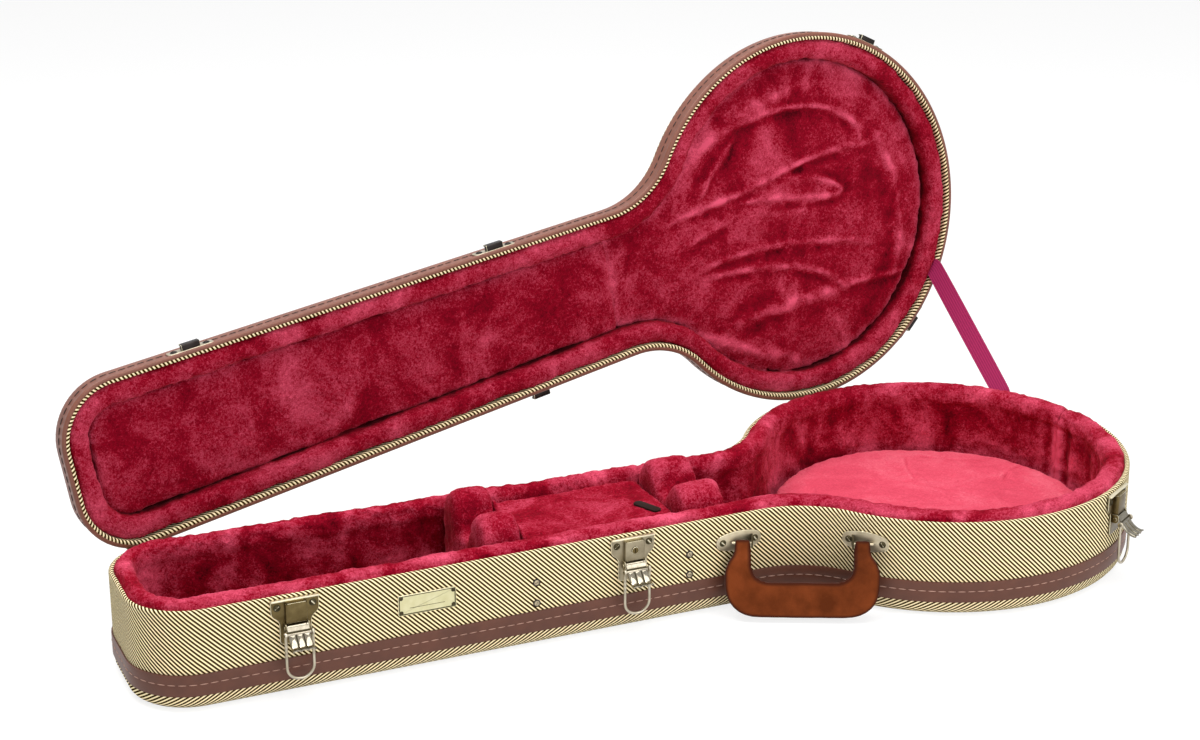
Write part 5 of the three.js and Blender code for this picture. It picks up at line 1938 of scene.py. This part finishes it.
    def bail(self) -> Workpiece:
        """The wire loop with its two eyes."""
        out, up = self.stub
        across = (self.eye_in + self.eye_out) / 2
        low = up - self.drop + self.turn
        bend = [math.radians(a) for a in range(0, 181, 10)]
        path = [(across, low + (up - low) * f) for f in (1, 0.66, 0.33)]
        path += [(across * math.cos(a), low - self.turn * math.sin(a)) for a in bend]
        path += [(-across, low + (up - low) * f) for f in (0.33, 0.66, 1)]
        line = np.array([(x, -out, z) for x, z in path]) * MM
        piece = Workpiece.from_wire("bail", line, self.wire * MM)
        for side in (-1, 1):
            ends = ((side * self.eye_in, -out, up), (side * self.eye_out, -out, up))
            eye = Workpiece.from_rod("eye", self.eye_radius, ends)
            eye.bevel(self.eye_round * MM)
            piece.join(eye)
        piece.smooth(50)
        return piece

    def lock(self) -> Workpiece:
        """The lock's barrel with its key slot."""
        ends = [(0, y, self.lock_level) for y in self.lock_ends]
        piece = Workpiece.from_rod("lock", self.lock_radius, ends)
        piece.bevel(self.fine_round * MM)
        low, high = ((x, y, self.lock_level + z) for x, y, z in (self.key_low, self.key_high))
        piece.cut(Workpiece.from_box("slot", low, high))
        piece.smooth(40)
        return piece

    def catch(self) -> Workpiece:
        """The catch on the lid: a screwed plate and the hook that the bail closes over."""
        back, face = self.band_face, self.band_face + self.sheet
        piece = Workpiece.from_outline("catch", rounded(self.catch_shape), back * MM, face * MM)
        seat = self.level + self.stub[1] + self.drop - self.wire - self.rim - self.hook_gap
        top = seat + self.hook_sheet
        profile = (
            (back, self.hook_low, 0),
            (self.hook_out, self.hook_low, 1.2),
            (self.hook_out, top, 0.5),
            (self.hook_in, top, 0.5),
            (self.hook_in, seat, 0.4),
            (back, seat, 0),
        )
        half = self.hook_half * MM
        hook = Workpiece.from_profile("hook", rounded(profile, 3), -half, half)
        # The hook takes mark 2, dark steel: painted shade.
        hook.mark(2)
        for part in (piece, hook):
            part.bevel(self.fine_round * MM)
        x, z = self.catch_screw
        piece.join(hook, *[Screw().on(side * x, z, face, 30 * side * x) for side in (-1, 1)])
        piece.smooth(40)
        return piece

    def build(self) -> None:
        """Makes and dresses the latches and their catches."""
        plates = {keyed: self.plate(keyed) for keyed in (False, True)}
        lever, bail, catch, lock = self.lever(), self.bail(), self.catch(), self.lock()
        for name, place in self.places.items():
            at = PLAN.frame_at(place, self.level * MM)
            keyed = name == "neck_front"
            plate = plates[keyed].copied(f"latch_plate_{name}_made", at)
            finish = DIM_NICKEL if keyed else AGED_NICKEL_AND_DARK_REFLECTION
            plate.finish(finish, "base", f"latch_plate_{name}", marked=METAL_MARKS)
            thumb = lever.copied(f"latch_lever_{name}_made", at)
            # The pot's levers take the darker copy of the chrome: painted shade.
            chrome = CHROME_IN_SHADE if name.startswith("pot") else CHROME
            thumb.finish(chrome, f"lever_{name}", f"latch_lever_{name}", marked=(OLD_STEEL_AND_SHADE,))
            loop = bail.copied(f"latch_bail_{name}_made", at)
            loop.finish(PALE_NICKEL, f"bail_{name}", f"latch_bail_{name}")
            hook = catch.copied(f"lid_catch_{name}_made", HINGE.opened @ PLAN.frame_at(place, self.rim * MM))
            # The pot's catches take dark steel instead of the pale nickel: painted shade.
            plating = DARK_STEEL if name.startswith("pot") else PALE_NICKEL
            hook.finish(plating, "lid", f"lid_catch_{name}", marked=(RUBBED_AND_HIGHLIT_NICKEL, DARK_STEEL))
            if keyed:
                turned = lock.copied("lock_barrel_made", at)
                turned.finish(AGED_NICKEL_AND_DARK_REFLECTION, "lock_barrel", "lock_barrel", marked=METAL_MARKS)
        for template in (*plates.values(), lever, bail, catch, lock):
            template.discard()


@dataclass(frozen=True)
class HandleSet:
    """The leather handle and its two brackets, which share one straight pivot. Sizes are in
    millimetres."""

    level: float = 69.5
    out: float = 9.0
    before_throat: float = 25.3
    past_throat: float = 18.1
    face: float = 1.7
    plate_shape: Corners = (
        (-23.8, -6, 6), (-9, -10, 9), (9, -10, 9), (23.8, -6, 6),
        (23.8, 6, 6), (9, 10, 9), (-9, 10, 9), (-23.8, 6, 6),
    )
    back: float = 0.3
    plate_round: float = 0.6
    fine_round: float = 0.3
    screw_at: float = 17.2
    dome: Triple = (15.0, 13.2, 9.8)
    mouth: float = 3.6
    sheet: float = 1.2
    ear_low: Pair = (-3.2, -4)
    ear_high: Pair = (12, 5)
    ear_lefts: Pair = (-10.1, 8.6)
    ear_sheet: float = 1.5
    pin: float = 1.5
    pin_half: float = 10.1
    wall_room: Triple = (60, 80, 40)
    wall_gap: float = 0.8
    tilt: float = 20.0
    thickness: float = 13.0
    strap_thickness: float = 6.0
    edge_round: float = 2.4
    voxel: float = 1.2
    worn_edge: float = 2.6
    wear: float = 0.35
    wear_length: float = 14.0

    @cached_property
    def spots(self) -> Pair:
        """The places of the two brackets on the wall."""
        left = PLAN.front_neck(PLAN.throat_start[0] - self.before_throat * MM)
        return left, PLAN.half_way - PLAN.runs[4] + self.past_throat * MM

    @cached_property
    def pivots(self) -> tuple[Vector, Vector]:
        """The middles of the two legs on the pivot line."""
        ends = []
        for place in self.spots:
            x, y, nx, ny = PLAN.wall(place)
            ends.append(Vector((x + nx * self.out * MM, y + ny * self.out * MM, self.level * MM)))
        return ends[0], ends[1]

    @cached_property
    def turn(self) -> Matrix:
        """The pivot line's turn from the X axis."""
        run = self.pivots[1] - self.pivots[0]
        return Matrix.Rotation(math.atan2(run.y, run.x), 4, "Z")

    @cached_property
    def half_span(self) -> float:
        """Half the distance between the legs, in millimetres."""
        return (self.pivots[1] - self.pivots[0]).length / 2 / MM

    def bracket(self, name: str, place: float, pivot: Vector) -> None:
        """An eye-shaped plate on the wall, and the hood over the leg.

        Args:
            name: left or right.
            place: where the plate stands on the wall.
            pivot: the middle of the leg on the pivot line.
        """
        shape = rounded(self.plate_shape)
        plate = Workpiece.from_outline("bracket", shape, self.back * MM, self.face * MM)
        plate.bevel(self.plate_round * MM)
        spots = (-self.screw_at, self.screw_at)
        plate.join(*[Screw().on(x, 0, self.face, 40 + 5 * x) for x in spots])
        plate.move(PLAN.frame_at(place, self.level * MM))
        bpy.ops.object.select_all(action="DESELECT")
        bpy.ops.mesh.primitive_uv_sphere_add(segments=40, ring_count=24, radius=1 * MM)
        hood = Workpiece("hood")
        with hood.editing():
            bpy.ops.mesh.select_all(action="SELECT")
            bpy.ops.transform.resize(value=self.dome, center_override=(0, 0, 0))
            bpy.ops.transform.translate(value=(0, self.out * MM, 0))
            bpy.ops.mesh.bisect(plane_co=(0, 0, self.mouth * MM), plane_no=(0, 0, 1), clear_inner=True)
        hood.modify("SOLIDIFY", thickness=self.sheet * MM, offset=-1)
        hood.bevel(self.fine_round * MM, 50)
        for left in self.ear_lefts:
            low, high = (left, *self.ear_low), (left + self.ear_sheet, *self.ear_high)
            ear = Workpiece.from_box("ear", low, high)
            # The ears under the hood take mark 2, the old steel: painted shade under the hood.
            ear.mark(2)
            hood.join(ear)
        pin = Workpiece.from_rod("pin", self.pin, ((-self.pin_half, 0, 0), (self.pin_half, 0, 0)))
        hood.join(pin)
        hood.move(Matrix.Translation(pivot) @ self.turn)
        wide, _, high = self.wall_room
        behind = Workpiece.from_box("wall_room", (-wide, 0, -high), self.wall_room)
        gap = Matrix.Translation((0, -self.wall_gap * MM, 0))
        behind.move(PLAN.frame_at(place, self.level * MM) @ gap)
        hood.cut(behind)
        plate.join(hood)
        plate.smooth(40)
        node = f"handle_bracket_{name}"
        plate.finish(SATIN_NICKEL, "base", node, marked=METAL_MARKS)

    def handle(self) -> None:
        """The handle: one smooth leather body, thin at the pivots, with a burnished edge."""
        inner, outer = self.half_span - 7, self.half_span + 7
        right = (
            (outer, 3.2, 2),
            (outer + 0.4, -10, 5),
            (outer + 9.5, -22, 9),
            (outer + 9.5, -70, 34),
            (0, -70.5, 0),
        )
        inside = (
            (0, -37, 0),
            (inner - 1, -38, 20),
            (inner - 0.5, -12, 4),
            (inner, 3.2, 2),
        )
        left_out = tuple((-x, z, reach) for x, z, reach in reversed(right[:-1]))
        left_in = tuple((-x, z, reach) for x, z, reach in reversed(inside[1:]))
        outline = rounded((*right, *left_out, *left_in, *inside), 8)
        half = self.thickness / 2
        piece = Workpiece.from_outline("handle_made", outline, -half * MM, half * MM)
        piece.bevel(self.edge_round * MM, 35, 3)
        piece.modify("REMESH", mode="VOXEL", voxel_size=self.voxel * MM)
        piece.modify("SMOOTH", factor=0.5, iterations=6)
        at = piece.points()
        thin = self.strap_thickness / self.thickness
        share = np.clip((at[:, 2] / MM + 17) / 11, 0, 1)
        at[:, 1] *= 1 + (thin - 1) * share * share * (3 - 2 * share)
        piece.reshape(at)
        edge = np.array(outline)
        inward = np.full(len(at), np.inf)
        for start, end in zip(edge, np.roll(edge, -1, axis=0)):
            run = end - start
            along = np.clip((at[:, ::2] - start) @ run / max(run @ run, 1e-12), 0, 1)
            inward = np.minimum(inward, np.linalg.norm(at[:, ::2] - start - along[:, None] * run, axis=1))
        worn = piece.obj.data.attributes.new("worn", "FLOAT", "POINT")
        worn.data.foreach_set("value", np.clip(1.25 - inward / (self.worn_edge * MM), 0, 0.9))
        wear = [noise.noise(Vector(point) / (self.wear_length * MM)) for point in at]
        piece.push(np.array(wear) * self.wear * MM)
        middle = Matrix.Translation((self.pivots[0] + self.pivots[1]) / 2)
        piece.move(middle @ self.turn @ Matrix.Rotation(math.radians(-self.tilt), 4, "X"))
        piece.smooth(180)
        piece.finish(SUEDE, "handle", "handle")

    def build(self) -> None:
        """Makes and dresses the brackets and the handle."""
        for name, place, pivot in zip(("left", "right"), self.spots, self.pivots):
            self.bracket(name, place, pivot)
        self.handle()


@dataclass(frozen=True)
class SmallFittings:
    """The hinges, the nameplate, the wall's screws, the pull tab and the ply divider. Sizes are in
    millimetres."""

    plate_width: float = 56.0
    plate_height: float = 20.0
    plate_face: float = 1.5
    plate_corner: float = 1.5
    plate_rim: float = 0.6
    field_border: float = 1.0
    field_depth: float = 0.3
    rule_end: float = 11.0
    rule_half: float = 0.2
    pin_inset: float = 2.8
    pin_face: float = 1.3
    cup_radius: float = 3.7
    cup_face: float = 1.5
    cup_rim: float = 0.9
    cup_depth: float = 1.0
    cup_floor: float = 0.6

    @staticmethod
    def on_front(node: str) -> Matrix:
        """The wall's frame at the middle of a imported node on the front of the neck."""
        low, high = (Vector(corner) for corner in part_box(node))
        middle = (low + high) / 2
        return PLAN.frame_at(PLAN.front_neck(middle.x + PLAN.length / 2), middle.z)

    def nameplate(self) -> None:
        """A bare plate with a sunk field and four dark pins."""
        x, z = self.plate_width / 2, self.plate_height / 2
        round_at = self.plate_corner
        corners = ((-x, -z, round_at), (x, -z, round_at), (x, z, round_at), (-x, z, round_at))
        shape = rounded(corners, 3)
        piece = Workpiece.from_outline("nameplate_made", shape, 0.3 * MM, self.plate_face * MM)
        with piece.editing():
            piece.pick("FACE", lambda _, normal: normal.y < -0.9)
            bpy.ops.mesh.inset(thickness=self.plate_rim * MM)
            bpy.ops.mesh.inset(thickness=self.field_border * MM, depth=-self.field_depth * MM)
        piece.mark(2, lambda at: 0.7 < min(x - abs(at.x) / MM, z - abs(at.z) / MM) < 1.5)
        reach, low, high = x - self.rule_end, -z / 3 - self.rule_half, -z / 3 + self.rule_half
        scored = Workpiece.from_box("rule", (-reach, -1.3, low), (reach, -1.1, high))
        scored.mark(2)
        piece.bevel(0.2 * MM, 60, 1)
        piece.join(scored)
        piece.move(self.on_front("nameplate"))
        piece.smooth(10)
        piece.finish(ETCHED_BRASS, "base", "nameplate", marked=METAL_MARKS)
        pins = Screw(radius=1.7, height=0.8, slot=0.5)
        x, z = x - self.pin_inset, z - self.pin_inset
        face = self.pin_face
        heads = [pins.on(side * x, level * z, face, 45) for side in (-1, 1) for level in (-1, 1)]
        heads[0].join(*heads[1:])
        heads[0].obj.name = "nameplate_pins"
        heads[0].move(self.on_front("nameplate"))
        heads[0].smooth(40)
        heads[0].finish(OLD_STEEL_AND_SHADE, "base")

    def wall_screw(self, name: str, turn: float) -> None:
        """A screw through the wall in a cup washer."""
        ends = ((0, -0.2, 0), (0, -self.cup_face, 0))
        cup = Workpiece.from_rod(f"{name}_made", self.cup_radius, ends)
        with cup.editing():
            cup.pick("FACE", lambda _, normal: normal.y < -0.9)
            bpy.ops.mesh.inset(thickness=self.cup_rim * MM)
            sunk = (0, self.cup_depth * MM, 0)
            bpy.ops.mesh.extrude_region_move(TRANSFORM_OT_translate={"value": sunk})
        cup.bevel(0.3 * MM)
        cup.mark(1, lambda at: math.hypot(at.x, at.z) > 3.2 * MM)
        cup.join(Screw(radius=2.1, height=0.8, slot=0.7).on(0, 0, self.cup_floor, turn))
        cup.move(self.on_front(name))
        cup.smooth(40)
        cup.finish(RUBBED_AND_HIGHLIT_NICKEL, "base", name, marked=(DARK_STEEL, SATIN_NICKEL))

    def build(self, nodes: dict[str, bpy.types.Object]) -> None:
        """Makes and dresses the small fittings.

        Args:
            nodes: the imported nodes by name.
        """
        for name in ("head", "pot"):
            Fitting(f"hinge_leaf_base_{name}", "base", AGED_NICKEL_AND_DARK_REFLECTION).build(nodes)
            Fitting(f"hinge_pin_{name}", "base", AGED_NICKEL_AND_DARK_REFLECTION).build(nodes)
            Fitting(f"hinge_leaf_lid_{name}", "lid", AGED_NICKEL_AND_DARK_REFLECTION).build(nodes)
        self.nameplate()
        for turn, level in enumerate(("neck_high", "neck_low", "heel_high", "heel_low")):
            self.wall_screw(f"wall_screw_{level}", 25 + 50 * turn)
        Fitting("pull_tab", "accessory_lid", TAB_LEATHER).build(nodes)
        Fitting("heel_divider", "base", PLY).build(nodes)


@dataclass(frozen=True)
class Strap:
    """The webbing stay between the lid and the base, tucked behind the lining at both ends."""

    width: float = 20 * MM
    thickness: float = 1.5 * MM
    pocket: float = 6.3 * MM
    bend: float = 9 * MM
    tail: float = 16 * MM
    base_angle: float = 36.5
    lid_angle: float = 33.2
    base_rim: float = BASE_SHELL.rim
    lid_rim: float = LID_SHELL.rim
    pressed: float = 0.02
    sunk: float = 13 * MM

    def end(self, degrees: float, rim: float, down: float) -> tuple[Vector, Vector, Vector]:
        """One end of the strap on the shut case: its mouth, its tucked tail and its width's way."""
        place = PLAN.around_pot(degrees)
        x, y, nx, ny = PLAN.wall(place)
        mouth = Vector((x - nx * self.pocket, y - ny * self.pocket, rim))
        return mouth, mouth + Vector((0, 0, down)), Vector((-ny, nx, 0))

    def build(self) -> None:
        """Makes and dresses the strap."""
        mouth, tail, side = self.end(self.base_angle, self.base_rim, -self.tail)
        lid_mouth, lid_tail, lid_side = self.end(self.lid_angle, self.lid_rim, self.tail)
        turn = HINGE.opened
        lid_mouth, lid_tail, lid_side = turn @ lid_mouth, turn @ lid_tail, turn.to_3x3() @ lid_side
        pull = (lid_mouth - mouth).normalized() * self.bend
        line = eased(np.array([tail, mouth, mouth + pull, lid_mouth - pull, lid_mouth, lid_tail]), 4)
        shares = np.linspace(0, 1, len(line))[:, None]
        sides = np.array(side) * (1 - shares) + np.array(lid_side) * shares
        sides /= np.linalg.norm(sides, axis=1, keepdims=True)
        across = np.linspace(-self.width / 2, self.width / 2, 7)
        points = line[:, None] + across[None, :, None] * sides[:, None]
        lengths = np.concatenate([[0], np.cumsum(np.linalg.norm(np.diff(line, axis=0), axis=1))])
        uvs = np.stack(np.broadcast_arrays(across[None], lengths[:, None]), axis=-1)
        piece = Workpiece.from_sheet("stay_strap_made", points, uvs)
        piece.modify("SOLIDIFY", thickness=self.thickness, offset=0)
        piece.smooth(50)
        strap = piece.finish(WEBBING, "base", "stay_strap")
        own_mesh(strap)


# The picture


@dataclass(frozen=True)
class Studio:
    """The plain pale floor, the soft lamps and the camera."""

    place: Triple = (-897.06 * MM, -1973.37 * MM, 988.37 * MM)
    right: Triple = (0.91838, -0.39569, -0.00216)
    up: Triple = (0.13308, 0.30373, 0.94342)
    forward: Triple = (0.37265, 0.86671, -0.33160)
    lens: float = 72.09
    sensor: float = 36.0
    floor_half: float = 4.0
    case_middle: Triple = (0.0, 0.0, 0.15)

    def camera(self) -> None:
        """Sets the camera where the photograph was taken."""
        data = bpy.data.cameras.new("camera")
        data.lens = self.lens
        data.sensor_width = self.sensor
        camera = bpy.data.objects.new("camera", data)
        bpy.context.collection.objects.link(camera)
        turn = Matrix([self.right, self.up, [-c for c in self.forward]]).transposed()
        camera.matrix_world = Matrix.Translation(self.place) @ turn.to_4x4()
        bpy.context.scene.camera = camera

    def white_seen(self, tree: bpy.types.NodeTree) -> bpy.types.NodeSocket:
        """1 for what the camera, a gloss or a glass sees of the background, and 0 for its light."""
        path = add_node(tree, "LightPath")
        glossy = add_node(
            tree, "Math", LARGER, {0: path.outputs["Is Camera Ray"], 1: path.outputs["Is Glossy Ray"]}
        )
        seen = add_node(
            tree, "Math", LARGER, {0: glossy.outputs[0], 1: path.outputs["Is Transmission Ray"]}
        )
        return seen.outputs[0]

    def world(self, ambient: float = 0.26) -> None:
        """A white background that lights the case only a little.

        Args:
            ambient: the background's strength as a light.
        """
        world = bpy.data.worlds.new("white_room")
        bpy.context.scene.world = world
        world.use_nodes = True
        tree = world.node_tree
        background = tree.nodes["Background"]
        background.inputs["Color"].default_value = (1.0, 1.0, 1.0, 1.0)
        strength = add_node(
            tree, "MapRange", inputs={"Value": self.white_seen(tree), "To Min": ambient, "To Max": 1.0}
        )
        tree.links.new(strength.outputs[0], background.inputs["Strength"])

    def floor(self) -> None:
        """A pale floor that keeps the case's shadow."""
        bpy.ops.object.select_all(action="DESELECT")
        bpy.ops.mesh.primitive_plane_add(size=2 * self.floor_half, location=(0, 0, -0.5 * MM))
        floor = bpy.context.object
        floor.name = "floor"
        material = bpy.data.materials.new("white_floor")
        material.use_nodes = True
        tree = material.node_tree
        surface = tree.nodes["Principled BSDF"]
        shades = {"Factor": self.white_seen(tree), "A": srgb("#F4F4F4"), "B": srgb("#8C8C8C")}
        tone = add_node(tree, "Mix", BLEND, shades)
        tree.links.new(tone.outputs["Result"], surface.inputs["Base Color"])
        surface.inputs["Roughness"].default_value = 0.9
        surface.inputs["Specular IOR Level"].default_value = 0.1
        surface.inputs["Emission Color"].default_value = (1.0, 1.0, 1.0, 1.0)
        lift = add_node(tree, "Math", TIMES, {0: self.white_seen(tree), 1: 0.8})
        tree.links.new(lift.outputs[0], surface.inputs["Emission Strength"])
        floor.data.materials.append(material)

    def lamp(self, name: str, place: Sequence[float], size: float, power: float) -> None:
        """Adds a square soft lamp that faces the middle of the case.

        Args:
            name: the lamp's name.
            place: where it hangs.
            size: its side.
            power: its power in watts.
        """
        data = bpy.data.lights.new(name, "AREA")
        data.size = size
        data.energy = power
        lamp = bpy.data.objects.new(name, data)
        bpy.context.collection.objects.link(lamp)
        lamp.location = place
        aim = Vector(self.case_middle) - Vector(place)
        lamp.rotation_mode = "QUATERNION"
        lamp.rotation_quaternion = aim.to_track_quat("-Z", "Y")

    def build(self) -> None:
        """Sets up the whole studio."""
        self.camera()
        self.world()
        self.floor()
        self.lamp("overhead", (0.35, -0.25, 2.6), size=2.2, power=58.0)
        self.lamp("front", (0.35, -2.9, 1.4), size=2.2, power=34.0)
        self.lamp("front_right", (1.8, -2.0, 1.3), size=1.6, power=9.0)
        self.lamp("back_left", (-1.0, 0.5, 2.7), size=1.0, power=44.0)


def main() -> None:
    """Builds the studio, then the case from the outside in."""
    logging.basicConfig(level=logging.INFO, format="%(name)s: %(message)s")
    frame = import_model()
    nodes = frame["nodes"]
    Studio().build()
    for shell in (BASE_SHELL, LID_SHELL):
        shell.build()
    WallLining().build()
    LidLining().build()
    PlushPad("floor_lining", "base", soften=0, nap=Nap(inset=1 * MM)).build(nodes)
    rest = Nap(opening=3400.0)
    PlushPad("neck_rest", "base", nap=rest, rise=(15 * MM, 14 * MM), pressed=0.82).build(nodes)
    PlushPad("neck_divider", "base", voxel=2.5 * MM, rise=(4 * MM, 2 * MM), pressed=0.9).build(nodes)
    PlushPad("heel_rest", "base", nap=rest, rise=(12 * MM, 14 * MM), pressed=0.82).build(nodes)
    pad = Nap(wave=2.0 * MM, wave_length=70 * MM)
    raised = {"rise": (5 * MM, 5 * MM), "crown": (14 * MM, 27 * MM)}
    PlushPad("pot_pad", "base", PALE_PLUSH, nap=pad, folds=PAD_CREASES, **raised).build(nodes)
    PlushPad("accessory_lid", "accessory_lid", voxel=3 * MM).build(nodes)
    PlushPad("lid_neck_pad", "lid", nap=Nap(wave=2.2 * MM, inset=-0.6 * MM), soften=3).build(nodes)
    grown = Nap(wave=2.2 * MM, inset=-4.6 * MM)
    PlushPad("lid_pot_pad", "lid", nap=grown, soften=3, folds=LID_FOLDS).build(nodes)
    Latches().build()
    HandleSet().build()
    SmallFittings().build(nodes)
    Strap().build()
    bpy.context.scene.view_settings.view_transform = "Standard"


if __name__ == "__main__":
    main()
